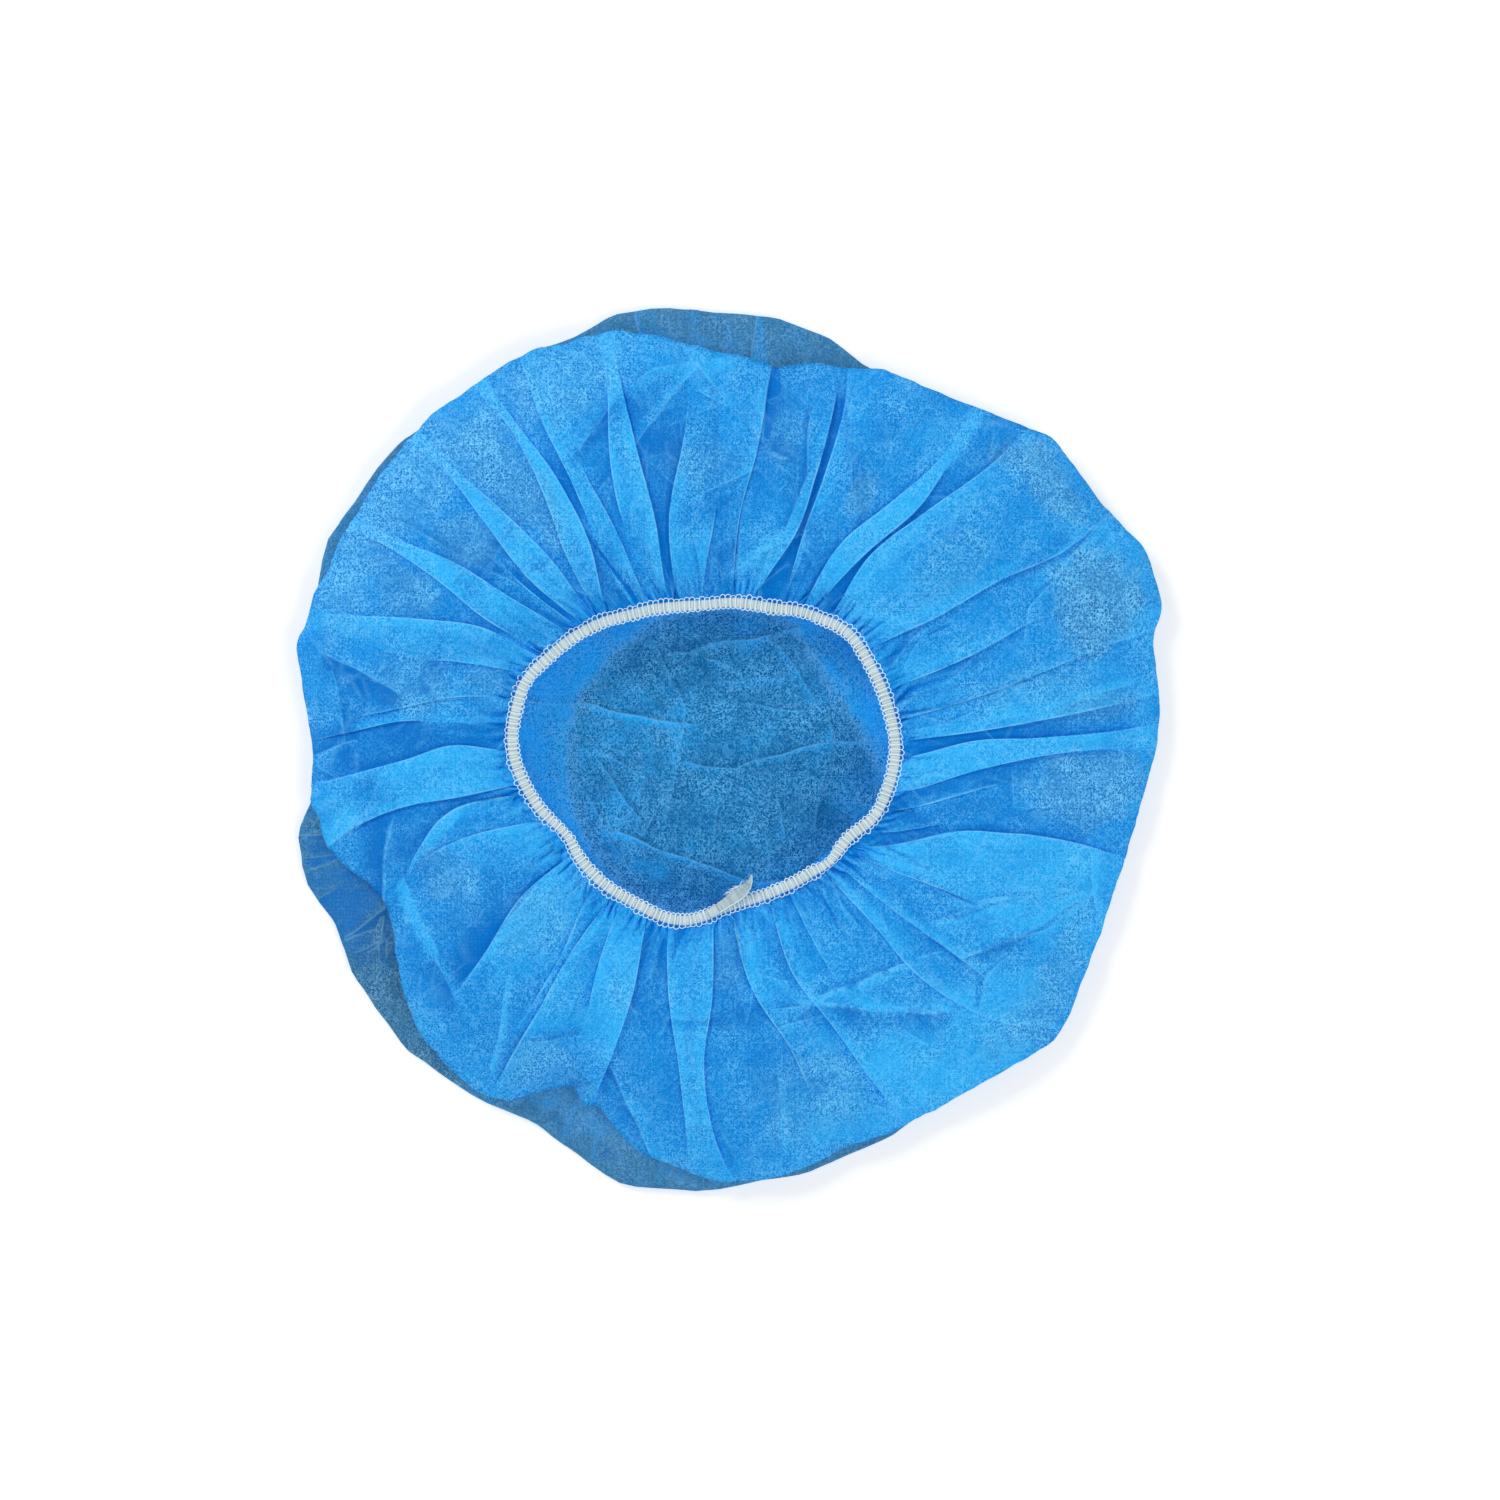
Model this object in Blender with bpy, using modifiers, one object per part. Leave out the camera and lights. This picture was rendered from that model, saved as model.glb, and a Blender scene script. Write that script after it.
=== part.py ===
# Bouffant cap, lying on its crown with the opening up, as it is laid on a table.
# One round sheet of thin nonwoven is gathered at its rim onto a flat elastic band. The crown lies flat, the
# upper side puffs up round the opening, and a flattened lip of cloth shows beyond the puff at some places.
# Metres, +Z up. The origin is on the table, under the middle of the cap.

import math
from collections import namedtuple

import bpy

# Driving sizes
CAP_RADIUS = 0.169  # mean radius of the outline on the table
MOUTH_RADIUS = 0.0655  # mean radius of the elastic's centre line
CREST_HEIGHT = 0.036  # top of the puff between its folds
MOUTH_HEIGHT = 0.024  # mean height of the hem above the table
MOUTH_WAVE = 0.0015  # how far the hem rises and falls along the ring
LIP_HEIGHT = 0.0046  # height of the flattened lip's outer fold
TUCK_DEPTH = 0.005  # how far the puff turns in under its own edge where the lip shows beyond it
SHALLOW_TUCK = 0.0015  # the same where it doesn't
CLOTH_WALL = 0.001
ELASTIC_WIDTH = 0.005
ELASTIC_THICKNESS = 0.001
HEM_TURN = 0.0005  # how far the band overhangs the cloth's rim, and the cloth runs flat past the band
FOLD_HEIGHT = 0.006  # height of the deepest main fold
GATHER_HEIGHT = 0.0022  # height of the small gathers beside the elastic
GATHER_REACH = 0.032  # how far the small gathers run out from the elastic
CROWN_FLAT_RADIUS = 0.020  # flat middle of the crown
CREASE_HEIGHT = 0.0028  # height of the soft creases in the crown
CREASE_WIDTH = 0.024  # half width of a crease
END_LENGTH = 0.018  # loose end of the elastic
END_LIFT = 0.0035  # how far its tip stands above the band
CLEARANCE = 0.0003  # gap between pieces that lie on each other

# Counts
COLUMNS = 98  # points round every ring of the cloth
GATHERS = 32
LIP_FOLD_STEPS = 4
END_STEPS = 8

# Shares of the way from the seam to the puff's edge
FOLD_FREE = 0.08  # within this much of the seam the main folds grow from the flat hem
FOLD_RISE = 0.2  # a fold reaches its full height over this much, round its start
FOLD_FALL = 0.25  # and sinks over this much before its end, and a third of it after

# Angles in degrees, anticlockwise from +X
CORNER_SOFTNESS = 1.5  # how far each way a corner of the outline is rounded
END_ANGLE = 264  # where the elastic's loose end starts


def table(columns, rows):
    """Rows whose columns have names."""
    kind = namedtuple("Row", columns)
    return [kind(*row) for row in rows]


# The elastic's ring and the puff's height round the cap, at equal steps of the angle. Mouth is a share of
# MOUTH_RADIUS and crest a share of CREST_HEIGHT.
RINGS = table("angle mouth crest", (
    (0, 0.98, 0.86),
    (15, 0.97, 0.90),
    (30, 0.97, 0.96),
    (45, 0.98, 1.00),
    (60, 0.92, 0.98),
    (75, 0.87, 0.90),
    (90, 0.87, 0.92),
    (105, 0.88, 1.00),
    (120, 0.95, 1.02),
    (135, 1.06, 1.00),
    (150, 1.17, 0.94),
    (165, 1.26, 0.88),
    (180, 1.27, 0.86),
    (195, 1.18, 0.92),
    (210, 1.08, 1.00),
    (225, 1.08, 1.02),
    (240, 1.06, 0.98),
    (255, 1.04, 0.96),
    (270, 0.92, 1.00),
    (285, 0.88, 1.02),
    (300, 0.87, 0.98),
    (315, 0.87, 0.90),
    (330, 0.92, 0.84),
    (345, 0.96, 0.84),
))

# Corners of the outline on the table, with the edge taut and straight between them. Radius is a share of
# CAP_RADIUS.
OUTLINE_CORNERS = table("angle radius", (
    (0, 0.98),
    (6, 1.00),
    (15, 1.01),
    (18, 1.05),
    (26, 1.06),
    (33, 1.03),
    (44, 1.03),
    (61, 0.95),
    (71, 0.95),
    (84, 1.00),
    (99, 1.03),
    (105, 1.04),
    (115, 1.03),
    (136, 1.04),
    (153, 1.05),
    (160, 1.02),
    (166, 1.02),
    (180, 0.96),
    (185, 0.96),
    (191, 1.01),
    (199, 1.02),
    (203, 0.99),
    (211, 1.01),
    (223, 1.02),
    (234, 1.00),
    (242, 0.97),
    (256, 1.04),
    (268, 1.02),
    (280, 1.00),
    (293, 0.97),
    (298, 0.95),
    (318, 1.00),
    (335, 0.95),
    (345, 0.94),
))

# Corners of the puff's widest edge, in the same way. Beyond it the flattened lip shows.
PUFF_CORNERS = table("angle radius", (
    (0, 0.98),
    (6, 1.00),
    (15, 1.01),
    (18, 1.05),
    (26, 1.06),
    (33, 1.03),
    (44, 1.03),
    (61, 0.95),
    (66, 0.92),
    (77, 0.90),
    (84, 0.88),
    (89, 0.91),
    (97, 0.94),
    (106, 0.99),
    (118, 1.02),
    (136, 1.03),
    (149, 1.02),
    (160, 1.01),
    (166, 1.02),
    (180, 0.96),
    (185, 0.96),
    (194, 0.94),
    (201, 0.88),
    (206, 0.87),
    (213, 0.90),
    (222, 0.95),
    (235, 0.96),
    (241, 0.90),
    (247, 0.87),
    (253, 0.91),
    (261, 0.95),
    (269, 0.99),
    (281, 0.97),
    (288, 0.94),
    (298, 0.95),
    (318, 1.00),
    (335, 0.95),
    (345, 0.94),
))

# The upper side from the hem to the puff's widest edge. Way is a share of the way from the seam to the edge,
# height a share of CREST_HEIGHT, and steps are the rows of the mesh up to the next line.
SECTION = table("way height steps", (
    (0.00, 0.67, 2),
    (0.10, 0.85, 2),
    (0.24, 0.97, 2),
    (0.42, 1.00, 2),
    (0.64, 0.86, 2),
    (0.86, 0.54, 2),
    (1.00, 0.26, 0),
))

# Main folds of the upper side, in degrees where they leave the elastic and where they end, with their half
# width in degrees, height as a share of FOLD_HEIGHT, and start and end as shares of the way to the edge.
# A fold with a height below nought is a valley.
FOLDS = table("mouth_angle edge_angle half_width height start end", (
    (2, 2, 5, 0.8, 0.05, 0.97),
    (11, 9, 4, 0.7, 0.05, 0.99),
    (21, 16, 5, 0.9, 0.05, 1.00),
    (34, 32, 6, 1.0, 0.08, 0.98),
    (54, 53, 6, 0.9, 0.06, 0.84),
    (69, 74, 5, -0.9, 0.10, 0.91),
    (80, 85, 5, 0.6, 0.05, 0.75),
    (92, 88, 5, 0.7, 0.05, 0.70),
    (101, 97, 4, -0.6, 0.05, 0.60),
    (114, 106, 6, 1.0, 0.08, 0.93),
    (126, 122, 5, 0.8, 0.05, 0.99),
    (136, 135, 6, 1.0, 0.03, 0.96),
    (146, 149, 5, 0.8, 0.11, 0.94),
    (154, 162, 5, 0.8, 0.20, 0.99),
    (170, 172, 4, 0.5, 0.05, 0.80),
    (181, 182, 4, 0.7, 0.05, 0.90),
    (192, 193, 5, 0.8, 0.02, 0.87),
    (200, 200, 5, 0.7, 0.09, 0.67),
    (216, 222, 5, -0.7, 0.02, 0.67),
    (234, 235, 6, 1.0, 0.08, 0.89),
    (248, 245, 5, -0.6, 0.05, 0.70),
    (258, 256, 5, 0.7, 0.04, 0.80),
    (272, 283, 5, 0.8, 0.06, 0.71),
    (286, 290, 4, 0.6, 0.03, 0.55),
    (296, 299, 5, 0.6, 0.05, 0.60),
    (309, 310, 6, 1.0, 0.06, 0.99),
    (318, 318, 4, -0.7, 0.04, 0.70),
    (325, 345, 6, 0.9, 0.05, 1.00),
    (350, 354, 4, 0.6, 0.05, 0.90),
))

# Soft creases of the crown, as straight lines from one point to another in shares of CAP_RADIUS, with their
# height as a share of CREASE_HEIGHT.
CROWN_CREASES = table("from_x from_y to_x to_y height", (
    (-0.47, 0.12, -0.09, 0.05, 0.9),
    (-0.16, 0.22, 0.20, 0.28, 0.8),
    (0.02, -0.10, 0.36, 0.02, 0.7),
    (-0.30, -0.20, 0.16, -0.29, 1.0),
    (0.30, 0.45, 0.62, 0.60, 0.9),
    (-0.72, -0.20, -0.45, -0.55, 1.0),
    (0.42, -0.30, 0.75, -0.42, 0.8),
    (-0.70, 0.30, -0.45, 0.62, 0.9),
    (-0.05, 0.55, 0.12, 0.78, 0.7),
    (0.02, -0.50, 0.22, -0.78, 0.8),
))

# The loose end. Along the ring and inward to the opening are shares of END_LENGTH, measured from the middle of
# the band. Width is a share of ELASTIC_WIDTH and lift a share of END_LIFT.
LOOSE_END = table("along inward width lift", (
    (0.00, 0.00, 0.80, 0.00),
    (0.35, 0.06, 0.85, 0.05),
    (0.70, 0.28, 0.70, 0.40),
    (1.00, 0.60, 0.30, 1.00),
))

# Rings of the crown, as shares of the outline's radius. The first lies flat, and the creases start inside it.
FLOOR_RINGS = (0.92, 0.78, 0.64, 0.50, 0.36, 0.23)


def column(rows, name):
    """One column of a table."""
    return [getattr(row, name) for row in rows]


def smooth(points, place):
    """Catmull-Rom curve through four equally spaced points, read at a place between the middle two."""
    before, start, end, after = points
    return start + 0.5 * place * (
        end - before
        + place * (2 * before - 5 * start + 4 * end - after + place * (3 * (start - end) + after - before))
    )


def round_the_cap(name, angle):
    """A column of RINGS at any angle in degrees, as a smooth closed curve."""
    values = column(RINGS, name)
    step = 360 / len(values)
    first, place = divmod((angle % 360) / step, 1)
    near = [values[(int(first) + offset) % len(values)] for offset in (-1, 0, 1, 2)]
    return smooth(near, place)


def straight_between(corners, angle):
    """Radius share at an angle on the straight line between the two corners beside it."""
    angles = column(corners, "angle")
    radii = column(corners, "radius")
    later = next((number for number, corner in enumerate(angles) if corner > angle % 360), 0)
    start, end = radii[later - 1], radii[later]
    past = math.radians((angle - angles[later - 1]) % 360)
    ahead = math.radians((angles[later] - angle) % 360)
    return start * end * math.sin(past + ahead) / (start * math.sin(past) + end * math.sin(ahead))


def softened(corners, angle):
    """The same with its corners rounded a little."""
    near = [straight_between(corners, angle + offset) for offset in (-CORNER_SOFTNESS, 0, CORNER_SOFTNESS)]
    return sum(near) / len(near)


def outline_radius(angle):
    """Radius of the cap's outline on the table."""
    return CAP_RADIUS * softened(OUTLINE_CORNERS, angle)


def edge_radius(angle):
    """Radius of the puff's widest edge, inside the outline where the lip shows."""
    return min(CAP_RADIUS * softened(PUFF_CORNERS, angle), outline_radius(angle))


def mouth_radius(angle):
    """Radius of the elastic's centre line."""
    return MOUTH_RADIUS * round_the_cap("mouth", angle)


def hem_height(angle):
    """Height of the cloth under the elastic, which waves a little along the ring."""
    turn = math.radians(angle)
    return MOUTH_HEIGHT + MOUTH_WAVE * (0.6 * math.sin(2 * turn + 0.8) + 0.4 * math.sin(3 * turn + 2.1))


def seam_radius(angle):
    """Where the cloth leaves the flat under the band and starts to gather."""
    return mouth_radius(angle) + ELASTIC_WIDTH / 2 + HEM_TURN


def turned(angle, other):
    """The way round from one angle to another, from -180 to 180 degrees."""
    return (angle - other + 180) % 360 - 180


def bump(distance, half_width):
    """A soft hill, one high in its middle and nought from its half width on."""
    share = min(abs(distance) / half_width, 1)
    return (1 - share * share) ** 2


def ramp(value, low, high):
    """Rises smoothly from nought at low to one at high."""
    share = min(max((value - low) / (high - low), 0), 1)
    return share * share * (3 - 2 * share)


def fold_lift(angle, way):
    """Height that the main folds add at an angle and a share of the way from the seam to the edge."""
    lift = 0
    for fold in FOLDS:
        middle = fold.mouth_angle + (fold.edge_angle - fold.mouth_angle) * way
        risen = ramp(way, fold.start - FOLD_RISE / 2, fold.start + FOLD_RISE / 2)
        fallen = ramp(way, fold.end - FOLD_FALL, fold.end + FOLD_FALL / 3)
        lift += fold.height * risen * (1 - fallen) * bump(turned(angle, middle), fold.half_width)
    return FOLD_HEIGHT * lift * ramp(way, 0, FOLD_FREE)


def gather_lift(angle, out):
    """Height of the small gathers at a distance out from the seam."""
    turn = math.radians(angle)
    fade = ramp(out, 0, GATHER_REACH / 8) * (1 - ramp(out, GATHER_REACH / 4, GATHER_REACH))
    return GATHER_HEIGHT * fade * math.sin(GATHERS * turn + 1.5 * math.sin(3 * turn))


def upper_rows(angle):
    """Points (radius, height) of the upper side, from the cloth's rim under the band to the puff's edge."""
    seam, edge, hem = seam_radius(angle), edge_radius(angle), hem_height(angle)
    rim = mouth_radius(angle) - ELASTIC_WIDTH / 2 + HEM_TURN
    ways = column(SECTION, "way")
    crest = CREST_HEIGHT * round_the_cap("crest", angle)
    heights = [hem] + [crest * share for share in column(SECTION, "height")[1:]]
    ways = [2 * ways[0] - ways[1]] + ways + [2 * ways[-1] - ways[-2]]
    heights = [heights[0]] + heights + [2 * heights[-1] - heights[-2]]
    rows = [(rim, hem), (mouth_radius(angle), hem)]
    for number, steps in enumerate(column(SECTION, "steps")):
        for step in range(steps):
            way = smooth(ways[number:number + 4], step / steps)
            height = smooth(heights[number:number + 4], step / steps)
            out = way * (edge - seam)
            rows.append((seam + out, height + fold_lift(angle, way) + gather_lift(angle, out)))
    rows.append((edge, heights[-2]))
    return rows


def lip_rows(angle):
    """From the tuck under the puff out along the lip, round its fold and back onto the table.

    Where no lip shows, the fold lies close under the puff's edge and only its lower half is turned."""
    outline, edge = outline_radius(angle), edge_radius(angle)
    shows = ramp(outline - edge, 0, 2 * TUCK_DEPTH)
    tuck = edge - SHALLOW_TUCK - (TUCK_DEPTH - SHALLOW_TUCK) * shows
    turn_radius = LIP_HEIGHT / 2
    fold_middle = outline - SHALLOW_TUCK * (1 - shows) - turn_radius
    fold = []
    for step in range(LIP_FOLD_STEPS + 1):
        share = step / LIP_FOLD_STEPS
        turn = math.pi / 2 * (shows * (1 - share) - share)
        fold.append((fold_middle + turn_radius * math.cos(turn), turn_radius * (1 + math.sin(turn))))
    tuck_height = LIP_HEIGHT + CLOTH_WALL
    middle = ((tuck + fold[0][0]) / 2, (tuck_height + fold[0][1]) / 2)
    return [(tuck, tuck_height), middle] + fold


def crease_lift(x, y):
    """Height of the crown's creases at a point on the table."""
    lift = 0
    for crease in CROWN_CREASES:
        start = (CAP_RADIUS * crease.from_x, CAP_RADIUS * crease.from_y)
        run = (CAP_RADIUS * crease.to_x - start[0], CAP_RADIUS * crease.to_y - start[1])
        place = ((x - start[0]) * run[0] + (y - start[1]) * run[1]) / (run[0] ** 2 + run[1] ** 2)
        place = min(max(place, 0), 1)
        away = math.hypot(x - start[0] - place * run[0], y - start[1] - place * run[1])
        lift = max(lift, CREASE_HEIGHT * crease.height * bump(away, CREASE_WIDTH))
    return lift


def crown_rows(angle):
    """Rings of the crown, with its creases, in to its flat middle."""
    turn = math.radians(angle)
    rows = []
    for share in FLOOR_RINGS:
        radius = share * outline_radius(angle)
        lift = crease_lift(radius * math.cos(turn), radius * math.sin(turn)) if share < FLOOR_RINGS[0] else 0
        rows.append((radius, lift))
    rows.append((CROWN_FLAT_RADIUS, 0))
    return rows


def cloth_rings():
    """Every ring of the cloth as points, from the rim to the flat middle of the crown."""
    columns = []
    for number in range(COLUMNS):
        angle = 360 * number / COLUMNS
        turn = math.radians(angle)
        section = upper_rows(angle) + lip_rows(angle) + crown_rows(angle)
        across, along = math.cos(turn), math.sin(turn)
        columns.append([(radius * across, radius * along, height) for radius, height in section])
    return [list(ring) for ring in zip(*columns)]


def middle_of(rings):
    """Middle of the box round the rings, seen from above."""
    across = [[point[axis] for ring in rings for point in ring] for axis in (0, 1)]
    return [(min(values) + max(values)) / 2 for values in across]


def ring_faces(rings, count):
    """Faces between rings that follow each other, each with the same count of points."""
    faces = []
    for ring in range(rings - 1):
        for number in range(count):
            beside = (number + 1) % count
            low, high = ring * count, (ring + 1) * count
            faces.append((low + number, high + number, high + beside, low + beside))
    return faces


def plain_material(name, colour, roughness):
    """A matt material of one colour."""
    material = bpy.data.materials.new(name)
    material.use_nodes = True
    shader = material.node_tree.nodes["Principled BSDF"]
    shader.inputs["Base Color"].default_value = (*colour, 1)
    shader.inputs["Roughness"].default_value = roughness
    shader.inputs["Metallic"].default_value = 0
    return material


def make_sheet(name, points, faces, thickness, offset, material, collection):
    """An open surface with a wall from Solidify. Offset -1 puts the wall behind the faces."""
    mesh = bpy.data.meshes.new(name)
    mesh.from_pydata(points, [], faces)
    mesh.validate()
    mesh.shade_smooth()
    mesh.materials.append(material)
    piece = bpy.data.objects.new(name, mesh)
    collection.objects.link(piece)
    wall = piece.modifiers.new("wall", "SOLIDIFY")
    wall.thickness = thickness
    wall.offset = offset
    return piece


def make_cap_cloth(collection, middle):
    """The rings joined by faces, closed by one flat face in the middle of the crown."""
    rings = cloth_rings()
    points = [(x - middle[0], y - middle[1], z) for ring in rings for x, y, z in ring]
    faces = ring_faces(len(rings), COLUMNS)
    last = (len(rings) - 1) * COLUMNS
    faces.append(tuple(last + number for number in reversed(range(COLUMNS))))
    blue = plain_material("blue nonwoven", (0.05, 0.30, 0.80), 0.75)
    return make_sheet("cap_cloth", points, faces, CLOTH_WALL, -1, blue, collection)


def make_elastic_band(collection, middle):
    """The band lies on the hem, with its wall built up from its underside."""
    points = []
    for edge in (-1, 1):
        for number in range(COLUMNS):
            angle = 360 * number / COLUMNS
            turn = math.radians(angle)
            radius = mouth_radius(angle) + edge * ELASTIC_WIDTH / 2
            height = hem_height(angle) + CLEARANCE
            points.append((radius * math.cos(turn) - middle[0], radius * math.sin(turn) - middle[1], height))
    white = plain_material("white elastic", (0.80, 0.82, 0.78), 0.8)
    return make_sheet(
        "elastic_band", points, ring_faces(2, COLUMNS), ELASTIC_THICKNESS, 1, white, collection
    )


def make_elastic_end(collection, middle):
    """The loose end starts on the band and turns in over the opening, and rises and narrows to its tip."""
    points = []
    columns = [column(LOOSE_END, name) for name in LOOSE_END[0]._fields]
    padded = [[2 * values[0] - values[1]] + values + [2 * values[-1] - values[-2]] for values in columns]
    for step in range(END_STEPS + 1):
        number, place = divmod(step / END_STEPS * (len(LOOSE_END) - 1), 1)
        if number == len(LOOSE_END) - 1:
            number, place = number - 1, 1.0
        start = int(number)
        along, inward, width, lift = [smooth(values[start:start + 4], place) for values in padded]
        angle = END_ANGLE + math.degrees(along * END_LENGTH / mouth_radius(END_ANGLE))
        turn = math.radians(angle)
        height = hem_height(angle) + ELASTIC_THICKNESS + 2 * CLEARANCE + END_LIFT * max(lift, 0)
        for edge in (1, -1):
            radius = mouth_radius(angle) - inward * END_LENGTH + edge * width * ELASTIC_WIDTH / 2
            points.append((radius * math.cos(turn) - middle[0], radius * math.sin(turn) - middle[1], height))
    faces = [(2 * step, 2 * step + 2, 2 * step + 3, 2 * step + 1) for step in range(END_STEPS)]
    pale = plain_material("frayed elastic", (0.80, 0.82, 0.78), 0.85)
    return make_sheet("elastic_end", points, faces, ELASTIC_THICKNESS, 1, pale, collection)


def main():
    for old in list(bpy.data.objects):
        bpy.data.objects.remove(old, do_unlink=True)
    collection = bpy.data.collections.new("bouffant cap")
    bpy.context.scene.collection.children.link(collection)
    middle = middle_of(cloth_rings())
    make_cap_cloth(collection, middle)
    make_elastic_band(collection, middle)
    make_elastic_end(collection, middle)


main()
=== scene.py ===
# %% [markdown]
# # A bouffant cap with its opening up
# A bouffant cap is one round sheet of thin nonwoven cloth whose rim is gathered onto a flat elastic. Here
# it lies on its crown, as it comes out of the pack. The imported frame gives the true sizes, and every piece
# below is built round it, in metres.

import math
from collections import namedtuple

import bpy
import numpy as np
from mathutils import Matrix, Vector, noise


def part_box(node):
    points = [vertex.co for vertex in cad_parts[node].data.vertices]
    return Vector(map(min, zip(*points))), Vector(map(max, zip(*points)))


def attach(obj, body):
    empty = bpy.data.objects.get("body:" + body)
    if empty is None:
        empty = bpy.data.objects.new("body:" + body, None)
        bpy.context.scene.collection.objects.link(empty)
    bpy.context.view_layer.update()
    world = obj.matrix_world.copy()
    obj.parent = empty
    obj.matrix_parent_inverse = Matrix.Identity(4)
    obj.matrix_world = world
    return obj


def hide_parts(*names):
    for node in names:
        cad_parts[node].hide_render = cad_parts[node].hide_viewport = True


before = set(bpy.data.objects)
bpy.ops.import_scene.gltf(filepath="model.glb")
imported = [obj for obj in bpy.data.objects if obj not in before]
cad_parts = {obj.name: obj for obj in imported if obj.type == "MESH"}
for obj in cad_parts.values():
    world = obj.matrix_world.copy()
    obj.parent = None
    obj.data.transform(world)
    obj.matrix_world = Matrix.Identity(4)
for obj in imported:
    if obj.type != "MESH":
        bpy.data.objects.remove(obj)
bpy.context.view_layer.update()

# %% [markdown]
# ## The camera, the floor and the light
# The real cap was seen from straight above on plain white. A camera far up with a long lens sees nearly no
# perspective, as a phone held high does. Big area lights give soft shading, because a small lamp would draw
# hard shadows that a cloudy window doesn't. One light from the upper left is stronger, so that folds show.

# %% Camera
FRAME_WIDTH = 0.585  # what the square picture spans at the height of the cap's edge
FRAME_MIDDLE = (0.0078, 0.0)  # the cap lies a little left of the middle of the picture
CAMERA_HEIGHT = 2.0
SENSOR = 0.036


def scene_object(name, data):
    """An object for a mesh, a curve, a lamp or a camera, in the scene."""
    made = bpy.data.objects.new(name, data)
    bpy.context.scene.collection.objects.link(made)
    return made


camera_data = bpy.data.cameras.new("camera")
camera_data.sensor_width = SENSOR * 1000
camera_data.lens = SENSOR * 1000 * CAMERA_HEIGHT / FRAME_WIDTH
camera = scene_object("camera", camera_data)
camera.location = (*FRAME_MIDDLE, CAMERA_HEIGHT)
bpy.context.scene.camera = camera
bpy.context.scene.view_settings.view_transform = "Standard"
print("lens", round(camera_data.lens, 1), "mm")

# %% Helpers for node trees


def set_inputs(tree, node, inputs):
    """Links an output to each named or numbered input, or sets a plain value."""
    for name, value in inputs.items():
        if isinstance(value, bpy.types.NodeSocket):
            tree.links.new(value, node.inputs[name])
        else:
            node.inputs[name].default_value = value


def add_node(tree, kind, inputs=None, **settings):
    """A node with its settings, and its inputs by name or number."""
    node = tree.nodes.new(kind)
    for name, value in settings.items():
        setattr(node, name, value)
    set_inputs(tree, node, inputs or {})
    return node


def first_output(tree):
    """A function that adds a node to the tree and gives its first output."""
    return lambda kind, inputs=None, **settings: add_node(tree, kind, inputs, **settings).outputs[0]


def calculate(tree, operation, first, second=0.0, clamp=False):
    """One Math node's result."""
    kind = "ShaderNodeMath"
    return add_node(tree, kind, {0: first, 1: second}, operation=operation, use_clamp=clamp).outputs[0]


def sums(tree):
    """Functions that add, take away and multiply in a tree, with a clamp to nought and one if asked."""

    def function_for(operation):
        return lambda first, second, clamp=False: calculate(tree, operation, first, second, clamp)

    return function_for("ADD"), function_for("SUBTRACT"), function_for("MULTIPLY")


def linear(red, green, blue):
    """A screen colour, 0 to 255, as the linear colour that a shader takes."""
    shares = [value / 255 for value in (red, green, blue)]
    return (*(share / 12.92 if share <= 0.04045 else ((share + 0.055) / 1.055) ** 2.4 for share in shares), 1)


def new_material(name):
    """A material with nodes and its Principled shader."""
    material = bpy.data.materials.new(name)
    material.use_nodes = True
    return material, material.node_tree, material.node_tree.nodes["Principled BSDF"]


# %% Floor and light
FLOOR_SIZE = 24.0
FLOOR_COLOUR = linear(250, 250, 250)
FLOOR_GLOW = 0.36  # keeps the table near white in the soft shadow round the cap
Lamp = namedtuple("Lamp", "name size power place")
LAMPS = (
    Lamp("window_light", 1.2, 32, (-1.6, 1.5, 1.7)),
    Lamp("room_light", 1.6, 26, (1.6, -1.3, 1.9)),
)
SKY_COLOUR = (0.93, 0.96, 1.0, 1)
SKY_STRENGTH = 0.40

half = FLOOR_SIZE / 2
floor_mesh = bpy.data.meshes.new("floor")
corners = [(-half, -half, 0), (half, -half, 0), (half, half, 0), (-half, half, 0)]
floor_mesh.from_pydata(corners, [], [(0, 1, 2, 3)])
floor = scene_object("floor", floor_mesh)
floor_material, floor_tree, floor_shader = new_material("white table")
table_place = add_node(floor_tree, "ShaderNodeTexCoord").outputs["Object"]
grain_values = {"Vector": table_place, "Scale": 900.0, "Detail": 2.0}
paper_grain = add_node(floor_tree, "ShaderNodeTexNoise", grain_values).outputs["Fac"]
table_bump = add_node(floor_tree, "ShaderNodeBump", {"Strength": 0.02, "Height": paper_grain})
set_inputs(floor_tree, floor_shader, {
    "Base Color": FLOOR_COLOUR, "Roughness": 0.9, "Emission Color": FLOOR_COLOUR,
    "Emission Strength": FLOOR_GLOW, "Normal": table_bump.outputs["Normal"],
})
floor_mesh.materials.append(floor_material)

world = bpy.data.worlds.new("room")
world.use_nodes = True
background = world.node_tree.nodes["Background"]
background.inputs["Color"].default_value = SKY_COLOUR
background.inputs["Strength"].default_value = SKY_STRENGTH
bpy.context.scene.world = world
for lamp in LAMPS:
    lamp_data = bpy.data.lights.new(lamp.name, "AREA")
    lamp_data.size = lamp.size
    lamp_data.energy = lamp.power
    lamp_object = scene_object(lamp.name, lamp_data)
    lamp_object.location = lamp.place
    lamp_object.rotation_euler = (-Vector(lamp.place)).to_track_quat("-Z", "Y").to_euler()
print(len(LAMPS), "lamps")

# %% [markdown]
# ## The cap's plan
# Seen from above the cap is a set of rings round one middle: the elastic, the widest edge of the puffed
# side, and the outline of the lip that lies flat on the table. Each is a radius that changes with the
# angle. Taut cloth runs straight between its corners, so the outline is given by its corners alone.

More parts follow.
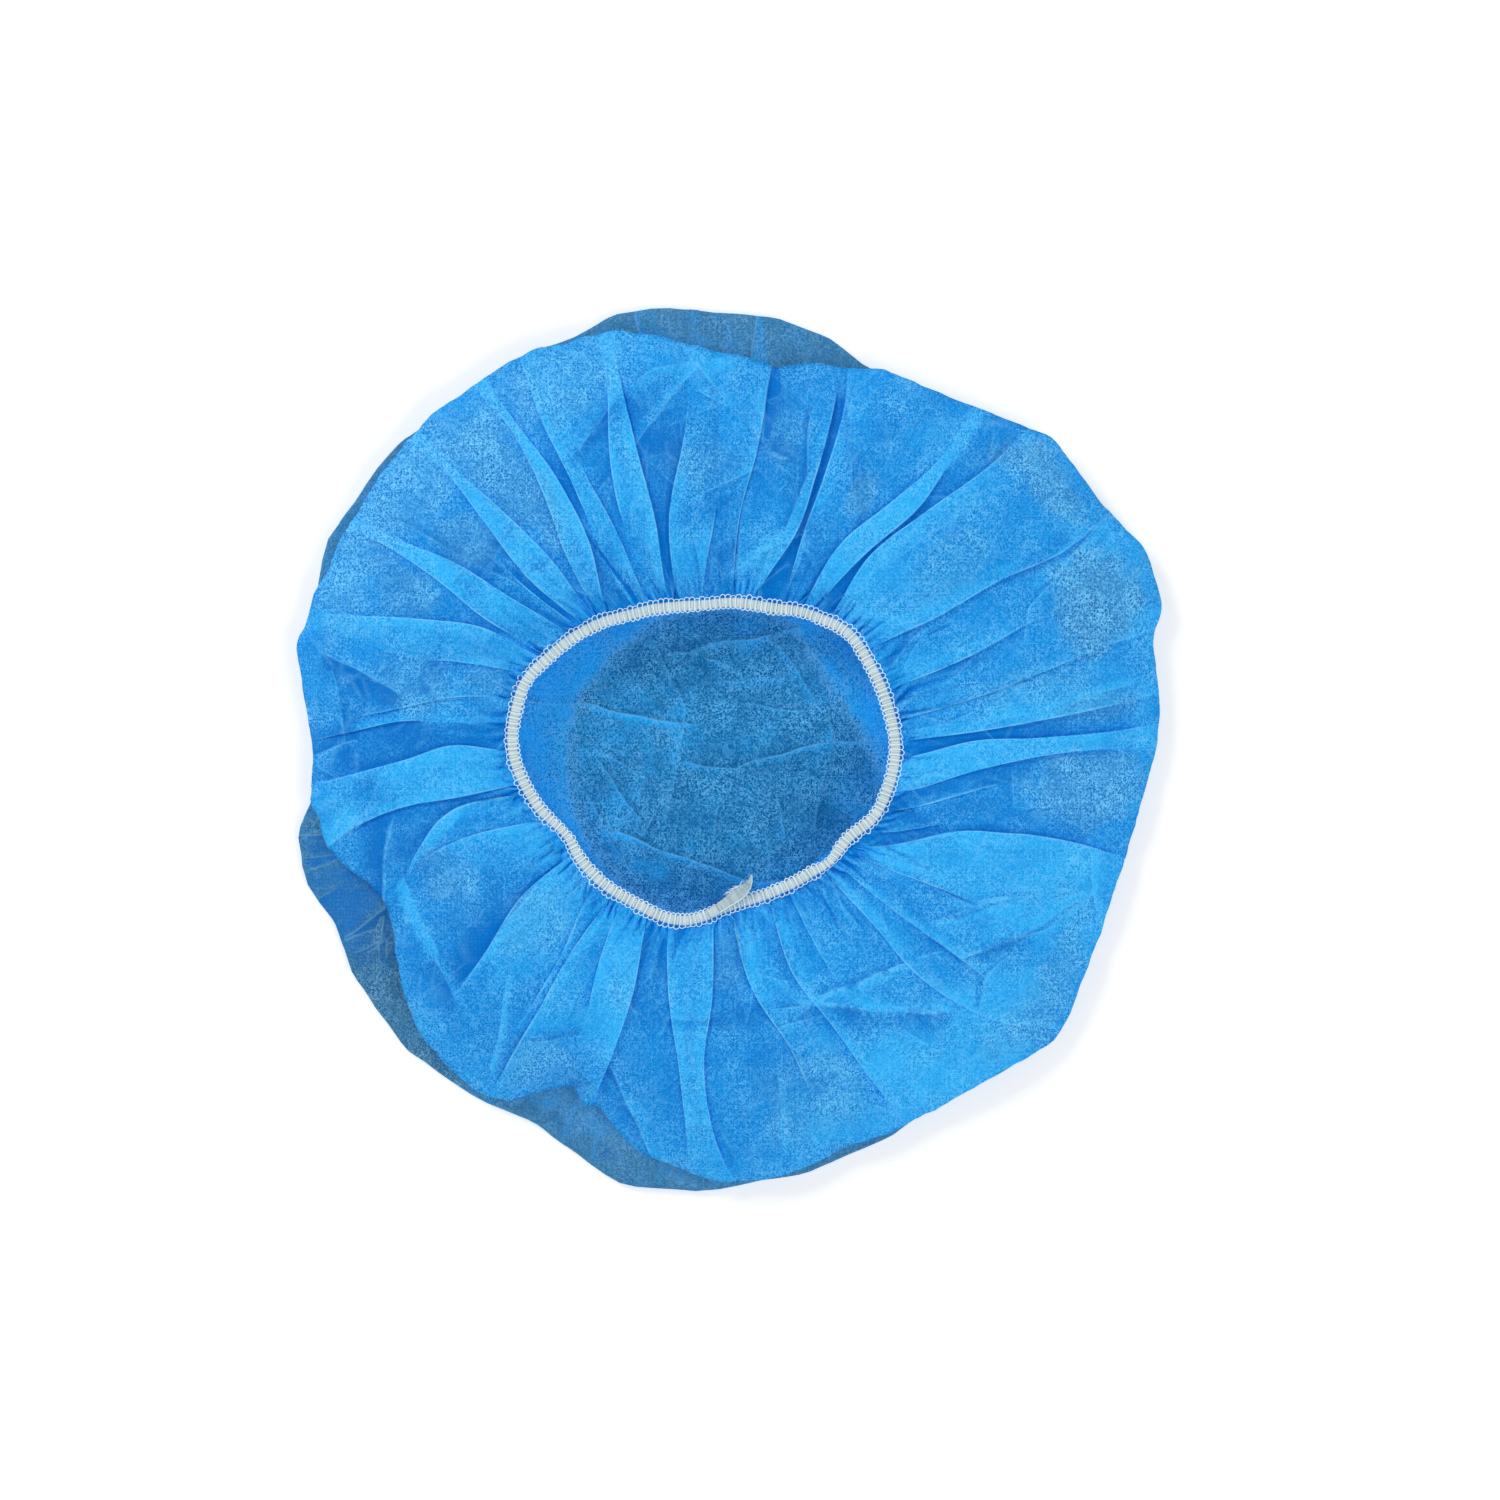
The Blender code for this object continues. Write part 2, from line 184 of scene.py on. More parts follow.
# %% Sizes
CAP_RADIUS = 0.169
MOUTH_RADIUS = 0.0655
CREST_HEIGHT = 0.036
MOUTH_HEIGHT = 0.024
MOUTH_WAVE = 0.0015
LIP_HEIGHT = 0.0046
TUCK_DEPTH = 0.005
SHALLOW_TUCK = 0.0015
CLOTH_WALL = 0.001
ELASTIC_WIDTH = 0.005
ELASTIC_THICKNESS = 0.001
CLEARANCE = 0.0003
HEM_TURN = 0.0005
MM = 0.001


def table(columns, rows):
    """Rows whose columns have names."""
    kind = namedtuple("Row", columns)
    return [kind(*row) for row in rows]


def column(rows, name):
    """One column of a table."""
    return np.array([getattr(row, name) for row in rows], float)


# %% Rings round the cap
# Mouth is a share of MOUTH_RADIUS and crest a share of CREST_HEIGHT, at equal steps of the angle.
RINGS = table("mouth crest", (
    (0.98, 0.86), (0.97, 0.9), (0.97, 0.96), (0.98, 1), (0.92, 0.98), (0.87, 0.9),
    (0.87, 0.92), (0.88, 1), (0.95, 1.02), (1.06, 1), (1.17, 0.94), (1.26, 0.88),
    (1.27, 0.86), (1.18, 0.92), (1.08, 1), (1.08, 1.02), (1.06, 0.98), (1.04, 0.96),
    (0.92, 1), (0.88, 1.02), (0.87, 0.98), (0.87, 0.9), (0.92, 0.84), (0.96, 0.84),
))

# Corners as angle in degrees and radius as a share of CAP_RADIUS.
OUTLINE = table("angle radius", (
    (0, 0.983), (6, 0.996), (15, 1.006), (18, 1.048), (22, 1.056), (26, 1.061), (33, 1.027), (44, 1.033),
    (61, 0.947), (71, 0.947), (77, 0.979), (84, 1.003), (99, 1.033), (105, 1.04), (112, 1.021), (115, 1.034),
    (136, 1.043), (140, 1.046), (153, 1.05), (163, 1.012), (166, 1.025), (180, 0.956), (185, 0.962),
    (191, 1.014), (196, 1.021), (199, 1.018), (203, 0.993), (211, 1.009), (223, 1.016), (234, 0.999),
    (242, 0.969), (256, 1.035), (268, 1.021), (280, 0.999), (293, 0.973), (298, 0.954), (318, 1.003),
    (322, 0.993), (335, 0.95), (345, 0.943),
))

# The puffed side's widest edge, as a share of the way from the seam to the outline. It is one where the
# edge is the outline itself.
PUFF = table("angle way", (
    (0, 1), (68, 1), (72, 0.95), (76, 0.9), (80, 0.86), (83, 0.82), (86, 0.84), (90, 0.85), (95, 0.87),
    (100, 0.9), (105, 0.94), (110, 0.97), (115, 0.98), (120, 1), (131, 1), (134, 0.985), (138, 0.96),
    (146, 0.955), (153, 0.94), (156, 0.95), (160, 1), (185, 1), (187, 0.98), (190, 0.9), (193.8, 0.875),
    (196, 0.83), (200, 0.77), (205, 0.763), (210, 0.785), (213.8, 0.83), (218.8, 0.886), (223.8, 0.92),
    (228.8, 0.948), (235, 0.96), (238, 0.94), (242.5, 0.83), (245, 0.77), (247.8, 0.81), (250, 0.78),
    (255, 0.83), (258.8, 0.875), (265, 0.93), (270, 0.965), (275, 0.98), (280, 0.965), (285, 0.955),
    (290, 0.96), (295, 0.98), (300, 1), (359.9, 1),
))


def smooth(values, place, wrap=False):
    """Catmull-Rom curve through equally spaced values, read at places counted in steps."""
    values = np.asarray(values, float)
    place = np.asarray(place, float)
    first = np.floor(place).astype(int)
    if wrap:
        near = [values[(first + offset) % len(values)] for offset in (-1, 0, 1, 2)]
    else:
        first = np.clip(first, 0, len(values) - 2)
        padded = np.concatenate([[2 * values[0] - values[1]], values, [2 * values[-1] - values[-2]]])
        near = [padded[first + offset] for offset in (0, 1, 2, 3)]
    share = place - first
    before, start, end, after = near
    return start + 0.5 * share * (
        end - before
        + share * (2 * before - 5 * start + 4 * end - after + share * (3 * (start - end) + after - before))
    )


def ramp(value, low, high):
    """Rises smoothly from nought at low to one at high."""
    share = np.clip((value - low) / (high - low), 0, 1)
    return share * share * (3 - 2 * share)


def around(degrees, angle):
    """The way round from an angle, from -180 to 180 degrees."""
    return (degrees - angle + 180) % 360 - 180


def ring_value(name, degrees):
    """A column of RINGS at any angle."""
    return smooth(column(RINGS, name), degrees / 360 * len(RINGS), wrap=True)


def mouth_radius(degrees):
    return MOUTH_RADIUS * ring_value("mouth", degrees)


def taut_radius(degrees):
    """Outline radius where the cloth runs straight from corner to corner."""
    angles, radii = np.radians(column(OUTLINE, "angle")), column(OUTLINE, "radius")
    turn = np.radians(degrees) % (2 * math.pi)
    later = np.searchsorted(angles, turn, side="right") % len(angles)
    start, end = radii[later - 1], radii[later]
    past = (turn - angles[later - 1]) % (2 * math.pi)
    ahead = (angles[later] - turn) % (2 * math.pi)
    return CAP_RADIUS * start * end * np.sin(past + ahead) / (start * np.sin(past) + end * np.sin(ahead))


def outline_radius(degrees):
    """The same with its corners rounded a little, and uneven as cloth is."""
    near = (-CORNER_SOFTNESS, 0, CORNER_SOFTNESS)
    return sum(taut_radius(degrees + offset) for offset in near) / len(near) + edge_ripple(degrees, 2.0)


CORNER_SOFTNESS = 0.8  # degrees to each side of a corner that its rounding takes in
EDGE_RIPPLE = 0.55 * MM
RIPPLE_SIZE = 3.0  # degrees, about, from one small corner of the outline to the next
FINE_RIPPLES, FINE_SHARE = 3, 0.4  # so many times more of the finer ripples, and their share of the height


def ring_noise(turns, size, level):
    """Noise that joins up round the ring. The size is the number of hills on a radian."""
    levels = level * np.ones_like(turns)
    flat = [noise.noise(Vector((size * math.cos(turn), size * math.sin(turn), height)))
            for turn, height in zip(turns.ravel(), levels.ravel())]
    return np.array(flat).reshape(turns.shape)


def edge_ripple(degrees, seed):
    """Small unevenness of a cut or folded edge."""
    size, turns = math.degrees(1) / RIPPLE_SIZE, np.radians(degrees)
    fine = ring_noise(turns, FINE_RIPPLES * size, seed + 5)
    return EDGE_RIPPLE * (ring_noise(turns, size, seed) + FINE_SHARE * fine)


def hem_height(degrees):
    """Height of the hem, which sways as it goes round."""
    turn = np.radians(degrees)
    return MOUTH_HEIGHT + MOUTH_WAVE * (0.6 * np.sin(2 * turn + 0.8) + 0.4 * np.sin(3 * turn + 2.1))


def seam_radius(degrees):
    return mouth_radius(degrees) + ELASTIC_WIDTH / 2 + HEM_TURN


def puff_share(degrees):
    """Share of the way from the seam to the cap's outline at which the puffed side's edge lies."""
    return np.interp(degrees % 360, column(PUFF, "angle"), column(PUFF, "way"))


def puff_radius(degrees):
    """Radius of the puffed side's widest edge."""
    ways = puff_share(degrees)
    seam = seam_radius(degrees)
    return seam + ways * (outline_radius(degrees) - seam) + (ways < 1) * edge_ripple(degrees, 7.0)


# The frame's band shows where the middle of the rings lies.
ring_turn = np.linspace(0, 360, 98, endpoint=False)
ring_reach = mouth_radius(ring_turn) + ELASTIC_WIDTH / 2
ring_x = ring_reach * np.cos(np.radians(ring_turn))
ring_y = ring_reach * np.sin(np.radians(ring_turn))
band_low, band_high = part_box("elastic_band")
MIDDLE_X = (band_low.x + band_high.x - ring_x.min() - ring_x.max()) / 2
MIDDLE_Y = (band_low.y + band_high.y - ring_y.min() - ring_y.max()) / 2
print("middle of the rings", round(MIDDLE_X * 1000, 2), round(MIDDLE_Y * 1000, 2), "mm")

# %% [markdown]
# ## Folds as real folds
# When a wide sheet is drawn together on a short elastic, the spare cloth lies over itself in flaps. A bump
# map or a hill in the mesh can't show that, because a flap has a sharp edge with more cloth hidden under
# it. So each main fold is a true Z in the mesh: the sheet runs out to the flap's edge, back under it, and
# on. Columns of the mesh are laid between these fold lines, and each line has its angle at five places from
# the seam outwards.

# %% Fold lines
# Side is 1 where the flap lies towards smaller angles, -1 where it lies towards larger ones. Seam, quarter,
# half, later and edge are the line's angles on its way outwards. Start and end are shares of that way,
# overlap is the width of the hidden cloth at the seam and rise the height of the flap's edge, both in
# millimetres. Near, middle and far are the tone of the panel that follows, from -1, a deep valley darkened
# as painted shade, to 1, a bright double layer.
FOLDS = table("side seam quarter half later edge start end overlap rise near middle far", (
    (-1, -15, -6, -1.6, 0, 0.5, 0.03, 0.88, 5, 2, 0.8, 0.6, 0.3),
    (1, -2.7, 1.9, 2.2, 2.6, 3.4, 0.02, 0.97, 6, 2.6, -0.8, -0.6, 0),
    (-1, 3, 4, 5.2, 6.3, 7.6, 0.03, 0.97, 4, 1.6, 0.3, 0.4, 0.2),
    (-1, 9.9, 11.5, 13.4, 15.1, 15.9, 0.03, 0.97, 5, 1.8, 0, 0, 0),
    (-1, 20.5, 20.9, 22.7, 24.5, 25.5, 0.02, 0.55, 6, 2, 0.1, 0, 0.2),
    (-1, 35.5, 32.5, 32, 30.6, 31.9, 0.03, 0.98, 7, 2.8, 0.3, -0.1, -0.2),
    (1, 52.6, 54.1, 50.6, 47.7, 46.9, 0.02, 0.98, 6, 2.4, -0.8, -0.7, -0.2),
    (-1, 58.5, 55.3, 51.9, 52.5, 53, 0.05, 0.78, 5, 2, 0.4, 0.5, 0.5),
    (1, 62.5, 61.9, 56.8, 53.8, 54.4, 0.03, 0.74, 5, 2, -0.4, -0.2, 0.1),
    (1, 69.8, 70.9, 70.8, 71.2, 72.6, 0.08, 0.9, 6, 2.6, -1, -0.9, -0.4),
    (-1, 80, 72.9, 72.3, 72.8, 74.2, 0.03, 0.87, 6, 2.6, 0.2, -0.3, -0.2),
    (-1, 88.5, 87.4, 84.6, 83.8, 83.8, 0.05, 0.84, 5, 1.8, -0.4, 0, 0.2),
    (-1, 99.6, 93.5, 92, 92, 92, 0.02, 0.32, 5, 1.6, 0, -0.1, 0.1),
    (1, 109, 104.6, 98.8, 96, 96, 0.02, 0.62, 6, 2.2, -0.8, -0.6, 0),
    (-1, 112, 107.9, 107, 106.4, 105.6, 0.03, 0.88, 6, 2.4, 0.2, 0.3, 0.5),
    (1, 115.5, 115.3, 112.6, 108.8, 107, 0.3, 0.85, 3, 1.4, 0, -0.2, 0.1),
    (-1, 119, 117.2, 117.4, 117.2, 116.6, 0.02, 0.57, 5, 1.8, 0.1, 0.1, 0.3),
    (1, 124, 122.2, 120.4, 119.6, 117.8, 0.36, 0.93, 5, 2, -0.3, -0.7, -0.1),
    (-1, 131.5, 124.2, 122.3, 122.9, 123.6, 0.05, 0.98, 6, 2.6, 0.1, 0.7, 0.6),
    (1, 134, 130.2, 126, 124.3, 124.9, 0.08, 0.88, 4, 1.8, 0.1, -0.2, 0),
    (-1, 135.5, 133, 133.3, 134.2, 134.7, 0.1, 0.84, 4, 1.8, 0.3, 0.3, 0.7),
    (1, 139.4, 139.6, 137.3, 135.6, 136, 0.03, 0.85, 5, 2.2, -0.6, -0.5, 0),
    (-1, 140.9, 141.2, 139.4, 137.5, 137.5, 0.02, 0.38, 3, 1.2, -0.3, -0.3, 0),
    (-1, 143.8, 145, 145.6, 147.6, 148.7, 0.02, 0.88, 5, 2, 0.2, 0.6, 0.5),
    (1, 152.3, 151.9, 149.9, 149.3, 150, 0.15, 0.88, 5, 2.2, -0.2, -0.2, 0),
    (-1, 153.7, 153.5, 157, 160.2, 162, 0.18, 0.92, 6, 2.4, 0.4, 0.4, 0.4),
    (1, 159.5, 161.8, 163.8, 163.4, 163.8, 0.06, 0.38, 4, 1.6, -0.1, -0.1, -0.2),
    (1, 166.5, 169.2, 172.8, 175, 176.2, 0.05, 0.7, 4, 1.6, 0.3, 0.3, -0.6),
    (1, 173, 174.2, 175, 177.1, 178.8, 0.42, 0.95, 5, 2, -0.5, -0.6, -0.3),
    (-1, 180.2, 179, 181.7, 183.5, 185, 0.02, 0.97, 6, 2.4, 0.5, 0.4, 0.3),
    (1, 189.4, 190, 190, 191.8, 195, 0.02, 0.87, 5, 2, -0.5, -0.4, -0.1),
    (-1, 191.9, 192, 198, 203.4, 204.5, 0.03, 0.76, 6, 2.4, -0.2, 0.3, -0.4),
    (-1, 200.2, 198.4, 199.8, 205.2, 206.5, 0.02, 0.5, 4, 1.6, 0.3, -0.2, 0.1),
    (-1, 213.8, 215.2, 219.9, 222.4, 224, 0.02, 0.68, 6, 2.2, 0.6, 0, 0),
    (-1, 224.5, 230.1, 232.2, 233.3, 234.4, 0.03, 0.6, 3, 1, 0, 0, 0),
    (-1, 231.4, 232, 233.7, 234.6, 235.8, 0.02, 0.94, 5, 2, 0.3, 0.1, 0.1),
    (-1, 235, 239, 242.2, 243.5, 244, 0.03, 0.48, 4, 1.6, 0.5, 0.4, 0.1),
    (1, 244.2, 248.3, 249.1, 248.8, 247.8, 0.02, 0.82, 6, 2.4, -0.2, -0.1, 0.1),
    (-1, 251, 255.9, 260.7, 263.6, 265.4, 0.02, 0.92, 5, 2, 0.1, 0.3, 0.3),
    (1, 265, 266.3, 265.5, 267.6, 272, 0.02, 0.98, 5, 2, -0.1, -0.1, 0),
    (-1, 271, 275, 281.2, 283.6, 284.5, 0.02, 0.7, 6, 2.2, 0.3, 0, -0.1),
    (-1, 285, 285.6, 290.5, 293.4, 296, 0.02, 0.95, 5, 2, -0.1, 0, 0.2),
    (-1, 292.9, 294.1, 296, 297.5, 299, 0.02, 0.4, 3, 1.2, -0.3, 0.2, 0.3),
    (-1, 308.1, 309.5, 309.8, 313.2, 319.4, 0.02, 0.98, 4, 1.4, 0.1, -0.1, 0.1),
    (-1, 313.6, 315.6, 317.6, 318.8, 321.2, 0.03, 0.65, 4, 1.4, -0.1, 0.2, 0.2),
    (-1, 319.8, 325.3, 328.3, 330, 333, 0.03, 0.48, 5, 1.6, 0.3, 0.5, 0.4),
    (1, 323.5, 338.8, 343.5, 345, 344.7, 0.03, 0.98, 8, 3, -1, -0.5, -0.1),
    (-1, 330, 341.5, 345.5, 347, 347, 0.02, 0.22, 4, 1.4, -0.7, -0.3, -0.1),
    (-1, 338.5, 348.6, 354.5, 356, 356.5, 0.03, 0.4, 4, 1.4, -0.9, -0.6, 0),
))
FOLD_PLACES = ("seam", "quarter", "half", "later", "edge")

# %% Rows of the mesh
FINE_REACH = 0.15  # share of the way, beside the elastic, that the small gathers need close rows for
FINE_ROWS = 15
BROAD_ROWS = 43
fine_ways = np.linspace(0, FINE_REACH, FINE_ROWS, endpoint=False)
WAYS = np.concatenate([fine_ways, np.linspace(FINE_REACH, 1, BROAD_ROWS + 1)])
print(len(WAYS), "rows from the seam to the puff's edge")

# %% Lines and overlaps
UNFOLDED_GAP = 0.25  # degrees between a fold's two lines where it is open
PRESSED = 0.7  # how much of each fold's height is left in a cap that was packed flat
TONE_WAYS = (0.12, 0.5, 0.85)  # where the near, middle and far tones of a panel count
OPENS = (-0.02, 0.06)  # a fold opens up between these ways, counted from its start
CLOSES = 0.4  # share of its length in which it closes again
ALL_CLOSE = (0.84, 0.98)  # rows between which every fold closes at the puff's edge
NARROWING = 0.45  # how much of its width a fold's hidden cloth loses on the way
MOST_OF_ROOM = 0.45  # share of the space beside a fold that its hidden cloth may fill


def fold_ways(fold):
    """The rows' ways as shares of the way to the outline, which the table of folds counts in."""
    return WAYS * float(puff_share(fold.half))


def fold_paths():
    """Angles of every fold line, one row for each fold and one column for each way."""
    steps = len(FOLD_PLACES) - 1
    return np.array([
        smooth([getattr(fold, name) for name in FOLD_PLACES], fold_ways(fold) * steps) for fold in FOLDS
    ])


def shares_shown(fold):
    """How far the fold is folded at each way, from nought to one. At the puff's edge all folds are open."""
    ways = fold_ways(fold)
    opens = ramp(ways, fold.start + OPENS[0], fold.start + OPENS[1])
    closes = 1 - ramp(ways, fold.end - CLOSES * (fold.end - fold.start), fold.end)
    return opens * np.minimum(closes, 1 - ramp(WAYS, *ALL_CLOSE))


paths = fold_paths()
shown = np.array([shares_shown(fold) for fold in FOLDS])
sides = column(FOLDS, "side")
gap_before = paths - np.roll(paths, 1, axis=0)
gap_before[0] += 360
gap_after = np.roll(gap_before, -1, axis=0)
path_radius = seam_radius(paths) + WAYS * (puff_radius(paths) - seam_radius(paths))
taper = 1 - NARROWING * WAYS / column(FOLDS, "end")[:, None]
overlap = np.degrees(column(FOLDS, "overlap")[:, None] * MM * shown * taper / path_radius)
room = np.where(sides[:, None] > 0, gap_before, gap_after)
overlap = np.minimum(overlap, MOST_OF_ROOM * room) - UNFOLDED_GAP * (1 - shown)
closest = np.unravel_index(gap_before.argmin(), gap_before.shape)
print(len(FOLDS), "folds; closest lines", round(float(gap_before.min()), 2), "degrees, fold", closest[0])

# %% [markdown]
# ## Laying the columns
# Between the far side of one fold and the near side of the next, the visible panel gets evenly spread
# columns, with one extra close to each sharp edge so that it stays sharp. The hidden stretch of a fold
# needs only a few.

# %% Columns of the upper side
COLUMN_STEP = 0.36  # degrees between the columns of a panel, about
HIDDEN_STEPS = 3
EDGE_STEP = 0.16  # degrees from a sharp edge to the next column
SINK = 0.4  # how deep the hidden line lies, as a share of the fold's rise
# A panel's painted light and shade: lighter at a flap's edge, darker where it dips under a flap.
PANEL_SLOPE = 0.26  # how much brighter a panel is at a flap's edge, and darker where it dips under a flap
SLOPE_POWER = 1.5  # how fast that fades across the panel
BOW = 0.05  # how far a panel bulges between its folds, as a share of its width
GROWS, FADES = (-0.05, 0.08), (-0.15, 0.08)  # a fold's height comes and goes between these ways from its ends
LOW_AT_EDGE = 0.8  # how much of that height is lost on the way out through the last rows
LAST_ROWS = 0.86
# A flap's edge is drawn as a thin pale line, a painted highlight.
LINE_LEFT = 0.6  # how plain a flap's edge stays where the fold is open but has height
BESIDE_EDGE = 0.7  # how plain it is on the column beside it
LAYER_BLUR = 0.8 * MM  # to each side of the line where a hidden layer ends
VALLEY_REACH = 2.5 * MM  # how far a valley's shade reaches
VALLEY_RISE = 2.5  # the rise, in millimetres, of a flap that gives a full shade


def fold_fade(fold):
    """Share of a fold's height and line that is left at each way."""
    ways = fold_ways(fold)
    grows = ramp(ways, fold.start + GROWS[0], fold.start + GROWS[1])
    fades = 1 - ramp(ways, fold.end + FADES[0], fold.end + FADES[1])
    return grows * np.minimum(fades, 1 - LOW_AT_EDGE * ramp(WAYS, LAST_ROWS, 1))


fade = np.array([fold_fade(fold) for fold in FOLDS])
top_lift = PRESSED * column(FOLDS, "rise")[:, None] * MM * fade
low_lift = -SINK * top_lift
under = paths - sides[:, None] * overlap
tones = np.array([
    np.interp(fold_ways(fold), TONE_WAYS, (fold.near, fold.middle, fold.far)) for fold in FOLDS
])

# A column of the upper side, and later the whole side, with a value for each of its points.
Sheet = namedtuple("Sheet", "angle lift edge layers valley tone")
NOTHING = np.zeros_like(WAYS)


def edge_line(number):
    """How plainly a flap's edge shows at each way, as a painted pale highlight."""
    return np.maximum(shown[number], LINE_LEFT * fade[number])


def hidden_leg(number):
    """Columns from the sharp edge back to the hidden line, in the order of rising angles."""
    ends = [(paths[number], top_lift[number]), (under[number], low_lift[number])]
    if sides[number] < 0:
        ends.reverse()
    tone = tones[number - 1] if sides[number] > 0 else tones[number]
    leg = []
    for step in range(HIDDEN_STEPS):
        share = step / HIDDEN_STEPS
        angle, lift = (first + (last - first) * share for first, last in zip(*ends))
        edge = edge_line(number) * (step == 0 and sides[number] > 0)
        leg.append(Sheet(angle, lift, edge, NOTHING, NOTHING, tone))
    return leg


def panel_places(start, end, sharp_start, sharp_end, count):
    """Shares of the panel's width, different at each way, where its columns stand."""
    near = np.minimum(EDGE_STEP / np.maximum(end - start, 0.1), 0.3 / count)
    places = [NOTHING]
    if sharp_start:
        places.append(near)
    places += [NOTHING + step / count for step in range(1, count)]
    if sharp_end:
        places.append(1 - near)
    return places


def panel(number, count):
    """Columns of the visible cloth from this fold to the next one."""
    following = (number + 1) % len(FOLDS)
    full_turn = 360 if following == 0 else 0
    sharp_start, sharp_end = sides[number] < 0, sides[following] > 0
    start = paths[number] if sharp_start else under[number]
    end = (paths[following] if sharp_end else under[following]) + full_turn
    start_lift = top_lift[number] if sharp_start else low_lift[number]
    end_lift = top_lift[following] if sharp_end else low_lift[following]
    to_length = np.radians(1) * path_radius[number]
    width = (end - start) * to_length
    start_slope = (PANEL_SLOPE if sharp_start else -PANEL_SLOPE) * fade[number]
    end_slope = (PANEL_SLOPE if sharp_end else -PANEL_SLOPE) * fade[following]
    columns = []
    places = panel_places(start, end, sharp_start, sharp_end, count)
    for step, place in enumerate(places):
        angle = start + (end - start) * place
        lift = start_lift + (end_lift - start_lift) * place + BOW * width * 4 * place * (1 - place)
        slopes = start_slope * (1 - place) ** SLOPE_POWER, end_slope * place ** SLOPE_POWER
        tone = tones[number] + slopes[0] + slopes[1]
        edge = NOTHING
        if sharp_start and step < 2:
            edge = (1, BESIDE_EDGE)[step] * edge_line(number)
        if sharp_end and step == len(places) - 1:
            edge = BESIDE_EDGE * edge_line(following)
        layered, shaded = NOTHING, NOTHING
        from_start = (angle - paths[number]) * to_length
        from_end = (paths[following] + full_turn - angle) * to_length
        for fold, sharp, away in ((number, sharp_start, from_start), (following, sharp_end, from_end)):
            if sharp:
                blur = ramp(overlap[fold] * to_length - away, -LAYER_BLUR, LAYER_BLUR)
                layered = layered + blur * shown[fold]
            else:
                shade = np.exp(-np.maximum(away, 0) / VALLEY_REACH)
                shaded = shaded + shade * fade[fold] * FOLDS[fold].rise
        columns.append(Sheet(angle, lift, edge, np.clip(layered, 0, 1), shaded / VALLEY_RISE, tone))
    return columns


def column_counts():
    """Columns of each panel. The total of the whole sheet is a multiple of four, for the join to the lip."""
    widths = np.roll(paths, -1, axis=0) - paths
    widths[-1] += 360
    counts = np.maximum(np.round(widths.mean(axis=1) / COLUMN_STEP), 3).astype(int)
    total = sum(len(panel(number, count)) + HIDDEN_STEPS for number, count in enumerate(counts))
    for extra in range(-total % 4):
        counts[np.argsort(-widths.mean(axis=1))[extra]] += 1
    return counts


upper_columns = []
for number, count in enumerate(column_counts()):
    upper_columns += hidden_leg(number) + panel(number, count)
sheet = Sheet(*(np.stack(values, axis=1) for values in zip(*upper_columns)))
COLUMNS = sheet.angle.shape[1]
print(COLUMNS, "columns round the upper side")

# %% [markdown]
# ## Heights of the puffed side
# The puff rises from the elastic, is highest a third of the way out and falls to its edge. On top of that
# come the folds, the fine gathers beside the elastic, the cross creases of a cap that was packed flat, and
# a light crumple everywhere.

# %% Section of the puff
# Way is a share of the way from the seam to the edge, height a share of CREST_HEIGHT.
SECTION = table("way height", (
    (0, 0.67), (0.1, 0.85), (0.24, 0.97), (0.42, 1), (0.64, 0.86), (0.86, 0.54), (1, 0.26),
))
section_places = np.linspace(0, len(SECTION) - 1, 121)
section_ways = smooth(column(SECTION, "way"), section_places)
section_heights = smooth(column(SECTION, "height"), section_places)
ways_grid = WAYS[:, None] * np.ones((1, COLUMNS))


def crest_height(degrees, ways):
    """Height of the puff without its folds, which starts from the hem."""
    crest = CREST_HEIGHT * ring_value("crest", degrees)
    at_seam = crest * SECTION[0].height
    settle = 1 - ramp(ways, 0, 0.1)
    return crest * np.interp(ways, section_ways, section_heights) + (hem_height(degrees) - at_seam) * settle


# %% Gathers beside the elastic
GATHERS = 132
GATHER_HEIGHT = 1.3 * MM
GATHER_RISE = 1.5 * MM  # how soon they reach their full height
SHORT_REACH = 3.5 * MM
LONG_REACH = 13 * MM
GATHER_SWINGS = ((1.6, 7, 1.0), (1.1, 17, 0.3), (0.6, 41, 0.0))  # size, waves and start of each unevenness


def gather_wave(ways_out):
    """Height share of the gathers, from -1 to 1, and how much of it is left at each point."""
    turn = 2 * math.pi * (np.arange(COLUMNS) / COLUMNS)
    swings = (size * np.sin(waves * turn + start) for size, waves, start in GATHER_SWINGS)
    wave = np.sin(sum(swings, GATHERS * turn))
    strength = 0.75 + 0.35 * np.sin(23 * turn + 2.0) * np.sin(11 * turn) + 0.25 * np.sin(61 * turn + 0.5)
    spread = 0.5 + 0.5 * np.sin(31 * turn + 0.7) * np.sin(13 * turn + 1.9)
    reach = SHORT_REACH + (LONG_REACH - SHORT_REACH) * spread ** 2
    left = strength * ramp(ways_out, 0, GATHER_RISE) * np.exp(-((ways_out / reach) ** 1.5))
    return wave * (1 - 0.25 * wave), left


